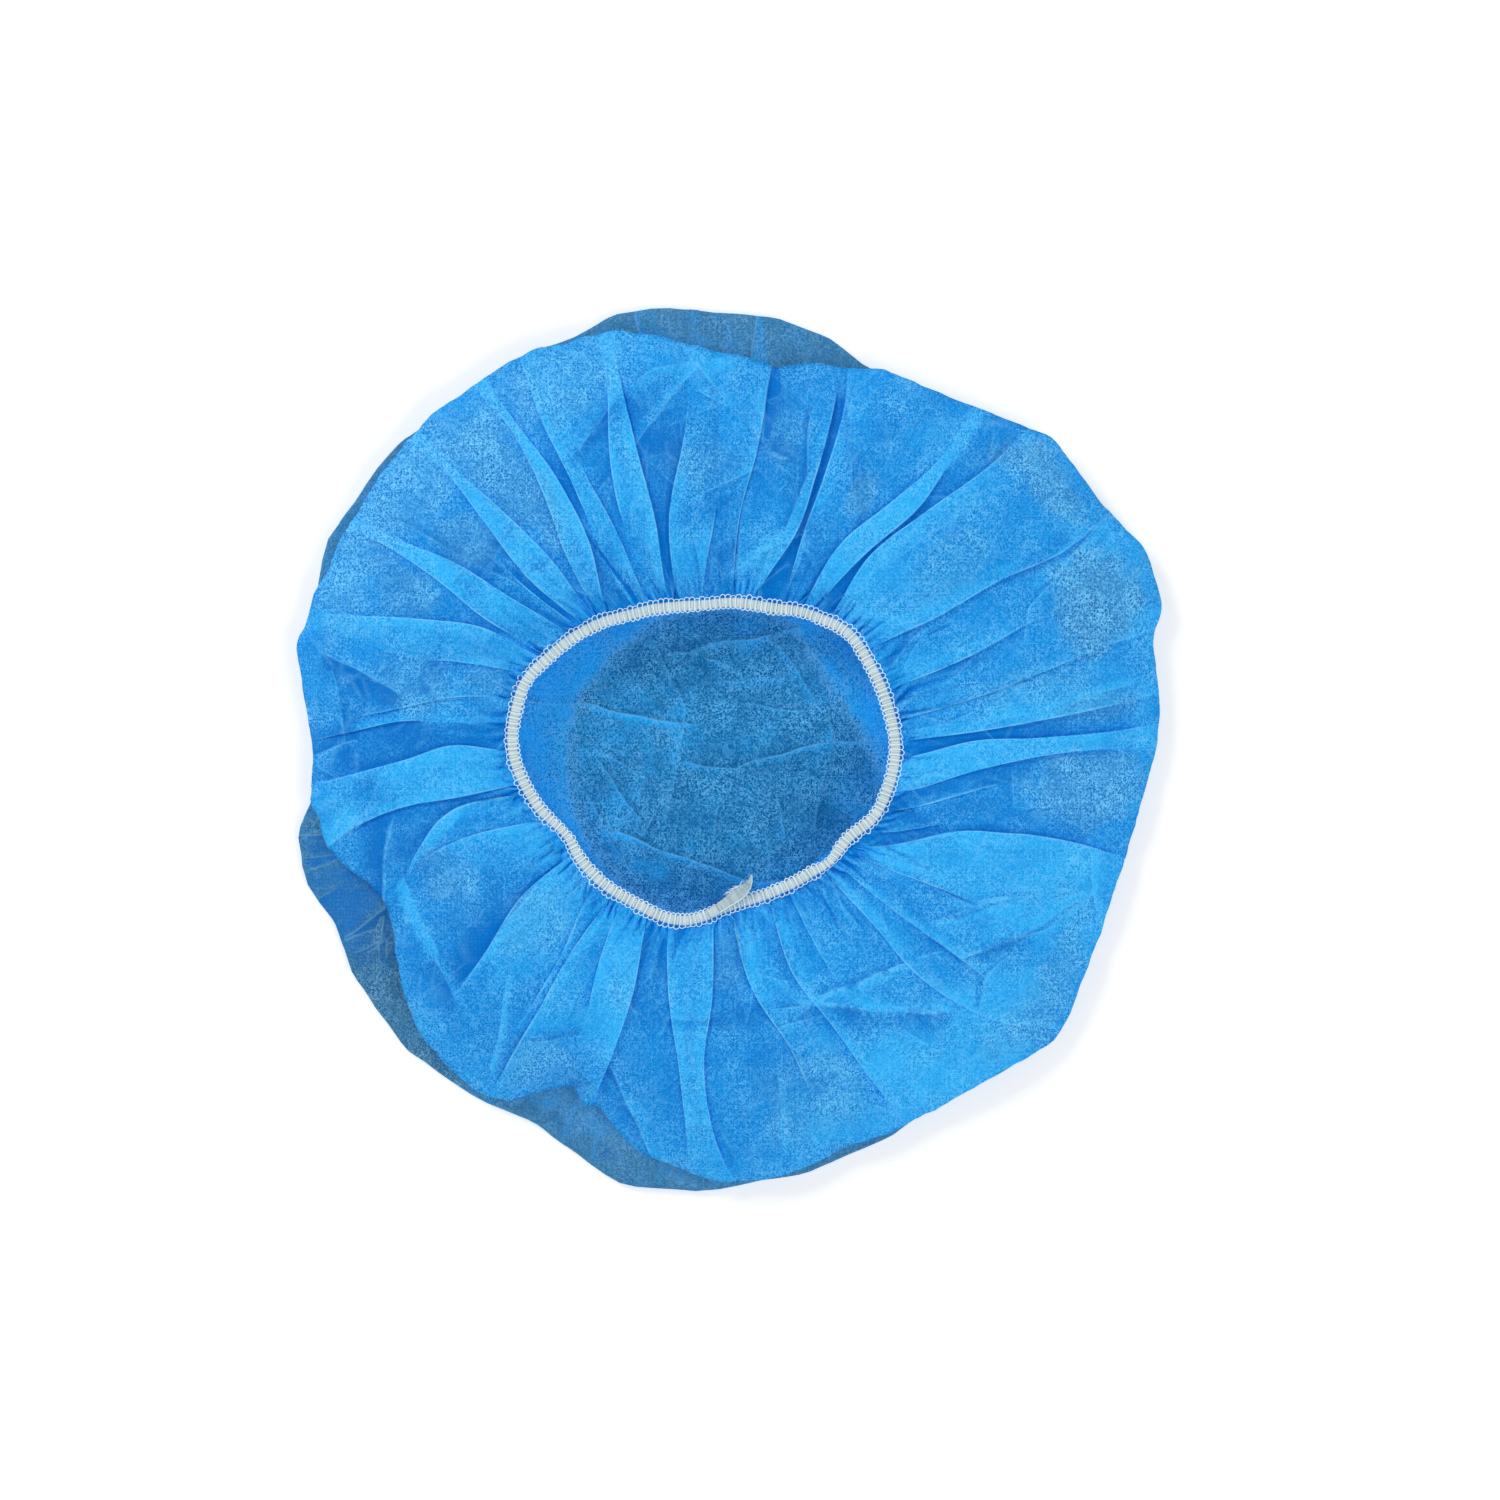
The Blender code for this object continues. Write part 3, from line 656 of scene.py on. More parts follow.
# %% Creases across the folds
# Straight lines by their ends, as angle and way, with their height in millimetres.
CREASES = table("from_angle from_way to_angle to_way height", (
    (19, 0.46, 25, 0.55, 0.8), (25, 0.55, 28.8, 0.74, 0.8), (28.8, 0.74, 31.9, 1, 0.8),
    (60, 0.39, 64.4, 0.5, 0.5), (64.4, 0.5, 68.8, 0.68, 0.5), (68.8, 0.68, 71.3, 0.82, 0.5),
    (76.9, 0.5, 81.3, 0.5, 0.9), (81.3, 0.5, 87.5, 0.64, 0.9), (87.5, 0.64, 95, 0.7, 0.9),
    (85, 0.44, 95, 0.35, 0.8), (71.6, 0.27, 80, 0.17, 0.7), (80, 0.17, 88.8, 0.08, 0.7),
    (87.5, 0.62, 95, 0.8, 0.7), (91, 0.67, 100, 0.58, 0.7),
    (94.4, 0.8, 100, 0.67, 0.8), (100, 0.67, 106.9, 0.54, 0.8),
    (129.7, 0.24, 134.4, 0.26, 0.5), (139, 0.47, 144.4, 0.48, 0.6), (145.6, 0.46, 152.5, 0.48, 0.6),
    (157.5, 0.38, 168.8, 0.34, 0.6),
    (182.8, 0.6, 186.3, 0.65, 0.8), (186.3, 0.65, 189.7, 0.68, 0.8), (189.7, 0.68, 193.8, 0.87, 0.8),
    (200, 0.6, 201.9, 0.63, 0.7), (201.9, 0.63, 215, 0.65, 0.7),
    (192.5, 0.57, 197.5, 0.63, 0.7), (197.5, 0.63, 203.8, 0.77, 0.7),
    (280, 0.37, 289, 0.41, 1), (280, 0.44, 290, 0.46, 0.8), (290, 0.385, 310, 0.45, 1),
    (287, 0.38, 300, 0.55, 1.2), (300, 0.55, 309, 0.67, 1.2),
    (315, 0.73, 318.8, 0.66, 0.9), (318.8, 0.66, 322.5, 0.67, 0.9),
    (320.3, 0.39, 324.4, 0.43, 0.8), (324.4, 0.43, 328, 0.5, 0.8), (328, 0.5, 334.4, 0.68, 0.8),
    (318.8, 0.54, 322.5, 0.6, 0.8), (322.5, 0.6, 331.3, 0.79, 0.8), (331.3, 0.79, 337.5, 0.9, 0.8),
    (296, 0.43, 301.5, 0.42, 0.7), (301.5, 0.42, 305, 0.46, 0.7), (335, 0.4, 342.5, 0.41, 0.6),
    (313.4, 0.77, 318.6, 0.78, 0.6),
    (335, 0.98, 344, 0.84, 0.8), (349, 0.48, 355.6, 0.43, 0.6),
))
CREASE_WIDTH = 4.5 * MM  # half width of the soft ridge along a crease
CREASE_RELIEF = 0.8
LINE_REACH = 3.5 * MM  # how far from a crease its distance is kept for the drawn line


def on_plan(degrees, ways):
    """Where an angle and a way lie on the table, measured from the middle of the rings."""
    radius = seam_radius(degrees) + ways * (puff_radius(degrees) - seam_radius(degrees))
    return radius * np.cos(np.radians(degrees)), radius * np.sin(np.radians(degrees))


def charted_ends(row):
    """Both ends of a line on the table. Its ways are shares of the way from the seam to the outline."""
    ends = (row.from_angle, row.from_way), (row.to_angle, row.to_way)
    return [on_plan(degrees, way / puff_share(degrees)) for degrees, way in ends]


def line_distance(across, along, start, end):
    """Signed distance from a straight line, and how far beyond its ends a point lies."""
    run = np.array(end) - np.array(start)
    length = math.hypot(*run)
    run = run / length
    forward = (across - start[0]) * run[0] + (along - start[1]) * run[1]
    beside = (along - start[1]) * run[0] - (across - start[0]) * run[1]
    beyond = np.maximum(np.maximum(-forward, forward - length), 0)
    return beside, beyond


def noise_field(across, along, size, seed):
    """Smooth noise from about -1 to 1, whose hills are as wide as size."""
    flat = [noise.noise(Vector((x / size, y / size, seed))) for x, y in zip(across.ravel(), along.ravel())]
    return np.array(flat).reshape(across.shape)


WANDER = 1.6 * MM  # how far a crease strays from a straight line
WANDER_SIZE = 16 * MM


def wandered(across, along, seed):
    """The places moved a little, so that a straight line strays as a crease does."""
    across = across + WANDER * noise_field(across, along, WANDER_SIZE, seed)
    return across, along + WANDER * noise_field(across, along, WANDER_SIZE, seed + 4.0)


def crease_fields(across, along, lines):
    """Height of the creases, and the signed distance and strength of the nearest drawn line.

    Lines are (start, end, height) in metres on the table."""
    # The drawn line is a painted pale highlight with painted light and shade to its sides; its strength
    # varies.
    patchy_lines = 0.55 + 0.9 * np.clip(noise_field(across, along, 0.6 * WANDER_SIZE, 2.5) + 0.25, -0.3, 0.5)
    across, along = wandered(across, along, 5.0)
    height = np.zeros_like(across)
    away = np.full_like(across, 2 * LINE_REACH)
    strength = np.zeros_like(across)
    for start, end, rise in lines:
        beside, beyond = line_distance(across, along, start, end)
        distance = np.hypot(beside, beyond)
        height = np.maximum(height, rise * np.maximum(1 - distance / CREASE_WIDTH, 0) ** 1.5)
        nearer = distance < np.abs(away)
        away = np.where(nearer, np.where(beside < 0, -distance, distance), away)
        kept = (1 - ramp(distance, 0.5 * LINE_REACH, LINE_REACH)) * (1 - ramp(beyond, 0, 2 * MM)) * rise / MM
        strength = np.where(nearer, kept, strength)
    return height, away, strength * patchy_lines


PLEAT_ANGLE = 1.5  # degrees from one fine pleat to the next, about
PLEAT_HEIGHT = 0.9 * MM
PLEAT_RUN = 2.2  # how many times a pleat changes on its way out
GATHERED_REACH = 8 * MM


def pleats(degrees, ways, seed):
    """Fine folds that run outwards, from about -1 to 1."""
    return 1.6 * ring_noise(np.radians(degrees), math.degrees(1) / PLEAT_ANGLE, PLEAT_RUN * ways + seed)


SMALL_CREASES = 260
small = np.random.default_rng(11)


def small_crease():
    """One short crease at a random place, more often along the folds than across them."""
    angle, way = small.uniform(0, 360), 0.02 + 0.95 * small.uniform() ** 1.5
    lean, reach = small.normal(0, 3.5), small.uniform(0.04, 0.16)
    height = small.uniform(0.15, 0.6)
    return on_plan(angle, way), on_plan(angle + lean, min(way + reach, 1.0)), height * MM


CRUMPLE_HEIGHT = 0.55 * MM
CRUMPLE_SIZE = 22 * MM


def crumple(across, along, seed):
    """Shallow facets with soft ridges between them, one high at most."""
    flat = [noise.voronoi(Vector((x / CRUMPLE_SIZE, y / CRUMPLE_SIZE, seed)))[0]
            for x, y in zip(across.ravel(), along.ravel())]
    ridges = np.array([math.exp(-(distances[1] - distances[0]) / 0.22) for distances in flat])
    return 0.6 * ridges.reshape(across.shape) + 0.8 * noise_field(across, along, 30 * MM, seed + 7.0)


# %% Shades and thin places
# Soft bands where deeper layers of cloth show through, and painted shade and light of broad shallow folds,
# by their ends as angle and way, with half their width in millimetres. A tone above nought is brighter.
SHADES = table("from_angle from_way to_angle to_way half_width tone", (
    (90, 0.33, 104, 0.24, 5, -0.35), (104, 0.24, 121, 0.07, 4, -0.3), (105, 0.72, 114, 0.61, 4, -0.4),
    (114, 0.61, 122, 0.52, 4, -0.4), (134, 0.44, 150, 0.37, 5, -0.45), (120, 0.47, 134, 0.44, 5, -0.2),
    (266, 0.37, 283, 0.38, 6, -0.45), (286, 0.43, 300, 0.6, 6, -0.2), (300, 0.6, 309, 0.72, 6, -0.2),
    (31.4, 0.55, 32.4, 0.86, 3, -0.4), (28.5, 0.6, 30.8, 0.96, 4, 0.6), (74.5, 0.54, 77, 0.35, 4, -0.3),
    (82.8, 0.58, 83, 0.82, 3, -0.4), (170, 0.7, 177, 0.84, 11, -0.35), (208, 0.3, 218.5, 0.48, 9, -0.4),
    (281, 0.05, 286, 0.33, 4, -0.6), (317.5, 0.1, 320, 0.4, 4, -0.35), (202, 0.655, 216, 0.67, 4, 0.5),
    (216, 0.67, 226, 0.73, 4, 0.25), (9, 0.32, 11, 0.6, 4, 0.35), (15, 0.93, 47, 0.955, 3, 0.45),
    (296, 0.92, 318, 0.93, 7, 0.35), (19.5, 0.36, 20.5, 0.16, 2.5, -0.45), (26, 0.02, 33, 0.15, 3, -0.5),
    (88, 0.18, 93, 0.1, 3, -0.4), (76, 0.25, 88, 0.07, 3, 0.5), (36, 0.15, 47, 0.03, 4, 0.3),
    (200, 0.05, 213, 0.06, 6, 0.3), (192.8, 0.27, 200, 0.6, 3, 0.5), (344, 0.86, 352, 0.95, 5, 0.2),
    (350, 0.53, 358, 0.55, 5, 0.3), (64, 0.06, 69, 0.06, 5, 0.5), (221, 0.16, 227, 0.12, 6, 0.2),
    (0, 0.93, 9, 0.95, 4, 0.3), (250, 0.66, 258, 0.74, 3, 0.4), (186, 0.64, 192, 0.85, 2.5, 0.4),
    (322, 0.6, 333, 0.82, 2, -0.4), (312, 0.62, 316, 0.75, 4, 0.35), (238, 0.62, 243, 0.56, 3, -0.3),
    (176, 0.8, 183, 0.83, 3, -0.3), (270, 0.62, 272, 0.95, 3, 0.2), (148, 0.3, 152, 0.2, 3, 0.2),
    (284, 0.86, 322, 0.8, 22, 0.5), (325, 0.6, 345, 0.85, 12, 0.25), (186, 0.7, 230, 0.75, 20, -0.25),
    (110, 0.3, 160, 0.3, 14, -0.2), (60, 0.7, 68, 0.92, 10, -0.15),
))
# Places where the web is thin, as ellipses. Grey shows the speckle, pale is a lighter veil.
THIN_PLACES = table("angle way half_angle half_way grey pale", (
    (22, 0.78, 8.5, 0.17, 1, 0), (41, 0.88, 9, 0.09, 0.75, 0.1), (62.5, 0.49, 3, 0.11, 0.6, 0),
    (354, 0.75, 6.5, 0.26, 0.5, 0.45), (6.5, 0.75, 2.5, 0.17, 0.5, 0), (129, 0.6, 5.5, 0.3, 0.4, 0.4),
    (142, 0.52, 5, 0.14, 0.45, 0.2), (154, 0.6, 5, 0.16, 0.35, 0.3), (140, 0.84, 28, 0.16, 0.1, 0.7),
    (114, 0.84, 10, 0.16, 0.1, 0.5), (168, 0.45, 7, 0.18, 0.3, 0.3), (95, 0.45, 9, 0.1, 0.25, 0.1),
    (80, 0.6, 4, 0.14, 0.3, 0), (40, 0.4, 6, 0.16, 0.3, 0), (222, 0.25, 8, 0.18, 0.15, 0.3),
    (205, 0.45, 8, 0.12, 0.3, 0.2), (240, 0.75, 8, 0.14, 0.25, 0.2), (284, 0.72, 10, 0.2, 0.25, 0.1),
    (322, 0.9, 14, 0.1, 0.25, 0.3), (270, 0.17, 5, 0.13, 0.35, 0.1), (165, 0.15, 5, 0.1, 0.2, 0.1),
    (12, 0.5, 4, 0.3, 0.2, 0.1),
))


# Straight-edged bands by their edge, as angle and way, standing for doubled cloth and for the painted light
# and shade of tilted facets. The tone is full at the edge and fades over the width, in millimetres, on the
# edge's left, or on its right where the width is less than nought.
FACETS = table("from_angle from_way to_angle to_way width tone", (
    (10.3, 0.06, 12.4, 0.5, 2.5, -0.5), (27, 0.03, 32, 0.19, 6, -0.4), (35, 0.15, 47, 0.03, -6, 0.25),
    (61.5, 0.4, 67, 0.62, -8, -0.4), (67, 0.62, 71, 0.82, 5, -0.3), (70.3, 0.05, 70.6, 0.36, -13, -0.35),
    (80, 0.02, 73.5, 0.15, -5, -0.4), (75.5, 0.28, 74.2, 0.47, 4, -0.6), (74.2, 0.47, 76.3, 0.7, 4, -0.5),
    (77, 0.5, 84, 0.53, -11, -0.4), (83.7, 0.55, 83.8, 0.83, -5, -0.5), (87.8, 0.11, 86.2, 0.36, 9, -0.45),
    (94.4, 0.8, 106.9, 0.54, -9, 0.3), (91, 0.83, 101, 0.79, 7, 0.35), (101, 0.79, 108, 0.71, 7, 0.3),
    (108, 0.71, 117, 0.59, 8, -0.45), (129, 0.24, 140, 0.27, -7, -0.35), (133, 0.45, 145, 0.39, -6, -0.3),
    (152.5, 0.22, 150, 0.46, -9, -0.3), (157, 0.39, 169, 0.34, -11, -0.3),
    (170.3, 0.52, 166.4, 0.83, 13, -0.7), (168.5, 0.83, 179, 0.83, 8, -0.35),
    (178.8, 0.78, 180.6, 0.98, -10, -0.6), (183.5, 0.61, 190, 0.69, -12, -0.45),
    (192.5, 0.58, 203.5, 0.77, -15, -0.5), (196.3, 0.62, 203.1, 0.76, 6, 0.35),
    (192.5, 0.59, 196.3, 0.62, 5, 0.3), (190.5, 0.67, 194.5, 0.86, -8, 0.3), (203, 0.635, 215, 0.65, -9, 0.4),
    (214.4, 0.14, 221, 0.6, -15, -0.5), (216, 0.67, 223, 0.7, -12, -0.35), (226, 0.5, 233.5, 0.84, 3, 0.5),
    (235, 0.68, 242, 0.57, 6, -0.45), (239.5, 0.95, 247, 0.73, 7, -0.3), (249.5, 0.6, 259, 0.86, -9, -0.45),
    (256, 0.34, 266, 0.35, -5, -0.35), (279, 0.56, 277.6, 0.86, 3, 0.3), (280, 0.44, 284, 0.69, 6, -0.3),
    (287, 0.4, 309, 0.68, -15, -0.55), (287, 0.4, 309, 0.68, 6, 0.35), (290, 0.385, 310, 0.45, -6, 0.35),
    (290, 0.385, 310, 0.45, 4, -0.35), (314, 0.74, 318.8, 0.65, 5, -0.55), (313, 0.76, 319.5, 0.97, 4, 0.45),
    (317.4, 0.44, 318.2, 0.64, -3, -0.5), (319, 0.56, 328, 0.7, -7, -0.65), (328, 0.7, 338, 0.9, 6, 0.3),
    (321, 0.4, 331, 0.61, -5, 0.35), (321, 0.4, 331, 0.61, 3, -0.4), (329, 0.5, 333, 0.63, 3, -0.4),
    (320.5, 0.04, 327.6, 0.47, 4, -0.4), (325, 0.04, 340, 0.3, 6, 0.35), (335, 0.98, 344, 0.84, -5, 0.3),
    (344, 0.12, 352.5, 0.38, -5, 0.4), (348, 0.53, 352, 0.8, 6, 0.3), (14, 0.93, 29, 0.95, 4, 0.3),
    (5.5, 0.3, 9, 0.9, 5, 0.3), (146, 0.47, 153, 0.48, -8, 0.3), (142, 0.28, 145.5, 0.8, -5, -0.3),
))


def facet_tone(row, across, along):
    """Tone of one straight-edged band."""
    beside, beyond = line_distance(across, along, *charted_ends(row))
    inward = beside * math.copysign(1, row.width)
    kept = ramp(inward, -0.4 * MM, 0.4 * MM) * (1 - ramp(inward, 0, abs(row.width) * MM))
    return row.tone * kept * (1 - ramp(beyond, 0, 5 * MM))


def shade_tone(row, across, along):
    """Tone of one soft band, which is widest in its middle."""
    start, end = charted_ends(row)
    beside, beyond = line_distance(across, along, start, end)
    from_middle = np.hypot(across - (start[0] + end[0]) / 2, along - (start[1] + end[1]) / 2)
    taper = 1 - 0.7 * np.minimum(2 * from_middle / math.dist(start, end), 1) ** 2
    distance = np.hypot(beside, beyond) / (row.half_width * MM * taper)
    return row.tone * (1 - ramp(distance, 0.6, 1.3))


def strongest(tone_of, rows, across, along, seed):
    """Tone of many bands, where the stronger band hides the weaker."""
    across, along = wandered(across, along, seed)
    found = [tone_of(row, across, along) for row in rows]
    return np.maximum(np.max(found, axis=0), 0) + np.minimum(np.min(found, axis=0), 0)


def thin_places(degrees, ways, across, along):
    """How grey and how pale the thin places are, with ragged edges."""
    ragged = 0.3 * noise_field(across, along, 9 * MM, 31.0) + 0.2 * noise_field(across, along, 4 * MM, 37.0)
    grey, pale = np.zeros_like(across), np.zeros_like(across)
    for row in THIN_PLACES:
        reach = np.hypot(around(degrees, row.angle) / row.half_angle, (ways - row.way) / row.half_way)
        inside = 1 - ramp(reach + ragged, 0.55, 1.15)
        grey, pale = np.maximum(grey, row.grey * inside), np.maximum(pale, row.pale * inside)
    return grey, pale


# %% Gaps between the bunches
# The elastic draws the cloth into small bunches, with narrow gaps that are widest at the elastic. The gaps
# are darkened as painted shade, and the rims of the bunches beside them lightened as a painted highlight.
GAPS = 150
GAP_DEPTH = 1.2 * MM
gap_places = np.random.default_rng(23)


def gaps(degrees, ways):
    """How deep each place lies in a gap, also painted as shade, and how near a bunch's rim, painted bright.
    """
    depth, rim_light = np.zeros_like(degrees), np.zeros_like(degrees)
    for number in range(GAPS):
        angle = 360 * (number + gap_places.uniform(-0.45, 0.45)) / GAPS
        reach = 0.07 * math.exp(gap_places.normal(0, 0.65))
        half_width = gap_places.uniform(0.25, 0.85)
        lean = gap_places.normal(0, 1.8)
        strength = gap_places.uniform(0.5, 1)
        left = np.clip(1 - ways / reach, 0, 1)
        beside = around(degrees - angle, lean * ways / reach) / (half_width * left + 0.05)
        rim = 1 - ramp(np.abs(beside - 1.7), 0.2, 0.8)
        depth = np.maximum(depth, strength * (1 - ramp(np.abs(beside), 0.6, 1.1)) * ramp(left, 0, 0.25))
        rim_light = np.maximum(rim_light, strength * rim * ramp(left, 0, 0.4))
    return depth, rim_light * (1 - ramp(depth, 0, 0.3))


# %% The puffed side's points
FACET_RISE = 1.5 * MM  # height of the crease along the edge of a band with a full tone
# How strongly each of these changes the tone: the panels, the bands, the gaps as painted shade and their
# bright rims as a painted highlight, broad and small blotches, the fine pleats, lighter where they rise, and
# the gathers, lighter on their ridges and darker in their troughs, both painted light and shade.
PANEL_TONE, FACET_TONE, GAP_TONE, RIM_TONE = 1.08, 1.5, 1.2, 0.6
BLOTCH_TONE, SPOT_TONE, PLEAT_TONE, GATHER_TONE = 0.25, 0.15, 0.5, 0.45

plan_x, plan_y = on_plan(sheet.angle, ways_grid)
seam_grid = seam_radius(sheet.angle)
out_grid = ways_grid * (puff_radius(sheet.angle) - seam_grid)
wave, wave_left = gather_wave(out_grid)
crease_lines = [(*charted_ends(row), row.height * MM) for row in CREASES]
for row in FACETS:
    facet_ends = charted_ends(row)
    if row.tone * row.width > 0:
        facet_ends = facet_ends[::-1]  # so that its brighter side is on its right, as a crease's is
    crease_lines.append((*facet_ends, FACET_RISE * abs(row.tone)))
crease_lines += [small_crease() for _ in range(SMALL_CREASES)]
gap_depth, rim_light = gaps(sheet.angle, ways_grid)
crease_height, crease_away, crease_strength = crease_fields(plan_x, plan_y, crease_lines)
bunches = np.clip(0.55 + 1.3 * noise_field(plan_x, plan_y, 20 * MM, 71.0), 0.1, 1)
pleat_grid = pleats(sheet.angle, ways_grid, 3.3) * bunches * (0.15 + 0.85 * np.exp(-out_grid / (14 * MM)))
gathered_grid = bunches * (0.06 + 0.94 * np.exp(-out_grid / GATHERED_REACH))
# Ridges of the gathers lightened and their troughs darkened: painted light and shade.
gather_light_and_shade = wave_left * (1.1 * np.maximum(wave, 0) ** 2 - 1.2 * np.maximum(-wave, 0))
from_seam = ramp(ways_grid, 0, 0.12)
tone_grid = (
    PANEL_TONE * sheet.tone
    + strongest(shade_tone, SHADES, plan_x, plan_y, 15.0)
    + FACET_TONE * strongest(facet_tone, FACETS, plan_x, plan_y, 5.0)
    - GAP_TONE * gap_depth
    + RIM_TONE * rim_light
    + BLOTCH_TONE * noise_field(plan_x, plan_y, 24 * MM, 41.0)
    + SPOT_TONE * noise_field(plan_x, plan_y, 7 * MM, 43.0)
    + PLEAT_TONE * pleat_grid
    + GATHER_TONE * gather_light_and_shade
)
grey_grid, pale_grid = thin_places(sheet.angle, ways_grid * puff_share(sheet.angle), plan_x, plan_y)
upper_z = (
    crest_height(sheet.angle, ways_grid)
    + sheet.lift * ramp(ways_grid, 0, 0.05)
    + GATHER_HEIGHT * wave * wave_left
    + CREASE_RELIEF * crease_height * from_seam
    + PLEAT_HEIGHT * pleat_grid * ramp(ways_grid, 0, 0.05)
    - GAP_DEPTH * gap_depth * ramp(ways_grid, 0, 0.03)
    + CRUMPLE_HEIGHT * crumple(plan_x, plan_y, 3.0) * from_seam * (1 - 0.6 * ramp(ways_grid, 0.9, 1))
)
print("puffed side up to", round(float(upper_z.max()) * 1000, 1), "mm high")

# %% [markdown]
# ## The lip and the crown
# Beyond the puff the cloth turns under, runs out as a flat lip and turns back onto the table. It then lies
# flat as the crown that shows through the opening. Fewer columns do there, so one ring of seven-sided
# faces, hidden in the tuck, brings four columns down to one.

# %% Rings of the lip
JOIN = 4  # columns of the upper side for each one of the lip and the crown
coarse_angle = sheet.angle[-1][::JOIN]
coarse_turn = np.radians(coarse_angle)
LIP_FOLD_STEPS = 5
LIP_STEPS = 8
LIP_WAVES = 1.1 * MM
LIP_PLEATS = 0.6 * MM


def lip_rings():
    """Radius and height of each ring from the tuck to the fold on the table."""
    outline = outline_radius(coarse_angle)
    edge = np.minimum(puff_radius(coarse_angle), outline)
    shows = ramp(outline - edge, 0, 2 * TUCK_DEPTH)
    tuck = edge - SHALLOW_TUCK - (TUCK_DEPTH - SHALLOW_TUCK) * shows
    turn_radius = LIP_HEIGHT / 2
    fold_middle = outline - SHALLOW_TUCK * (1 - shows) - turn_radius
    fold = []
    for step in range(LIP_FOLD_STEPS + 1):
        share = step / LIP_FOLD_STEPS
        turn = math.pi / 2 * (shows * (1 - share) - share)
        fold.append((fold_middle + turn_radius * np.cos(turn), turn_radius * (1 + np.sin(turn))))
    tuck_height = LIP_HEIGHT + CLOTH_WALL
    rings = []
    for step in range(LIP_STEPS):
        share = step / LIP_STEPS
        radius = tuck + (fold[0][0] - tuck) * share
        height = tuck_height + (fold[0][1] - tuck_height) * share
        waves = np.sin(61 * coarse_turn + 2.0 * np.sin(5 * coarse_turn))
        waves *= 0.5 + 0.5 * np.sin(9 * coarse_turn + 1.0)
        fine = LIP_PLEATS * pleats(coarse_angle, 0.3 * share, 8.0)
        rings.append((radius, height + (LIP_WAVES * waves + fine) * math.sin(math.pi * share) * shows))
    return rings + fold


# %% Tone of the lip
# Where the lip is double or thin, as the angle, half its width in degrees and its reach beyond the puff. A
# tone under nought is a deeper blue, a pale share a lighter veil, and a grey share the table that shows
# through.
LIP_PATCHES = table("angle half_angle reach tone pale grey", (
    (202.5, 11, 0.032, -1, 0, 0), (189, 7, 0.02, -0.5, 0, 0.1), (247, 10, 0.013, 0.7, 0.3, 0),
    (236, 6, 0.008, 0.4, 0.1, 0), (265, 10, 0.006, 0.3, 0.1, 0), (92, 14, 0.005, 0.3, 0, 0),
    (150, 14, 0.004, 0.3, 0, 0), (218, 14, 0.05, 0, 0, 0.6),
))
LIP_VEIL = 0.15  # pale share of the single lip


def lip_tones(degrees, radius):
    """Tone, pale share and grey share of the lip at a radius."""
    beyond = radius - puff_radius(degrees)
    tone, pale, grey = np.zeros_like(degrees), np.full_like(degrees, LIP_VEIL), np.zeros_like(degrees)
    for row in LIP_PATCHES:
        half_angle = row.half_angle * np.clip(1.1 - 0.9 * beyond / row.reach, 0.1, 1)
        near = 1 - ramp(np.abs(around(degrees, row.angle)) / half_angle, 0.7, 1.1)
        near *= 1 - ramp(beyond, 0.8 * row.reach, 1.2 * row.reach)
        tone, pale, grey = tone + row.tone * near, pale + row.pale * near, grey + row.grey * near
    return np.clip(tone, -1, 1), pale, grey


# Sharp pleats of the lip, by the angle and the way where they start and end, with their height in
# millimetres.
LIP_CREASES = table("from_angle from_way to_angle to_way height", (
    (85, 0.84, 86, 1, 2.2), (87, 0.86, 86.5, 1, 1.2), (102, 0.9, 102, 1, 1.4), (109, 0.94, 108, 1, 0.6),
    (79, 0.9, 78, 1, 0.6), (94, 0.9, 95, 1, 0.6), (209, 0.9, 208.5, 0.98, 0.9), (223, 0.93, 223, 0.98, 1.2),
    (216, 0.9, 219, 0.97, 0.5), (231, 0.95, 232, 1, 0.5), (254, 0.92, 251, 1, 1.4), (257, 0.93, 255, 1, 0.6),
    (263, 0.92, 262, 0.97, 1.3), (270, 0.94, 268, 1, 0.6), (283, 0.96, 282, 1, 0.6), (192, 0.93, 191, 1, 1.2),
    (199, 0.92, 200, 1, 1.3), (186, 0.94, 185, 1, 0.8), (196, 0.86, 194, 1, 1.3), (204, 0.82, 206, 0.98, 1.3),
    (201, 0.84, 210, 0.93, 1.2), (207, 0.84, 213, 0.96, 1),
))


def on_lip(degrees, way):
    """Where an angle and a share of the outline's radius lie on the table."""
    radius, turn = outline_radius(degrees) * way, math.radians(degrees)
    return radius * math.cos(turn), radius * math.sin(turn)


lip_lines = [
    (on_lip(row.from_angle, row.from_way), on_lip(row.to_angle, row.to_way), row.height * MM)
    for row in LIP_CREASES
]


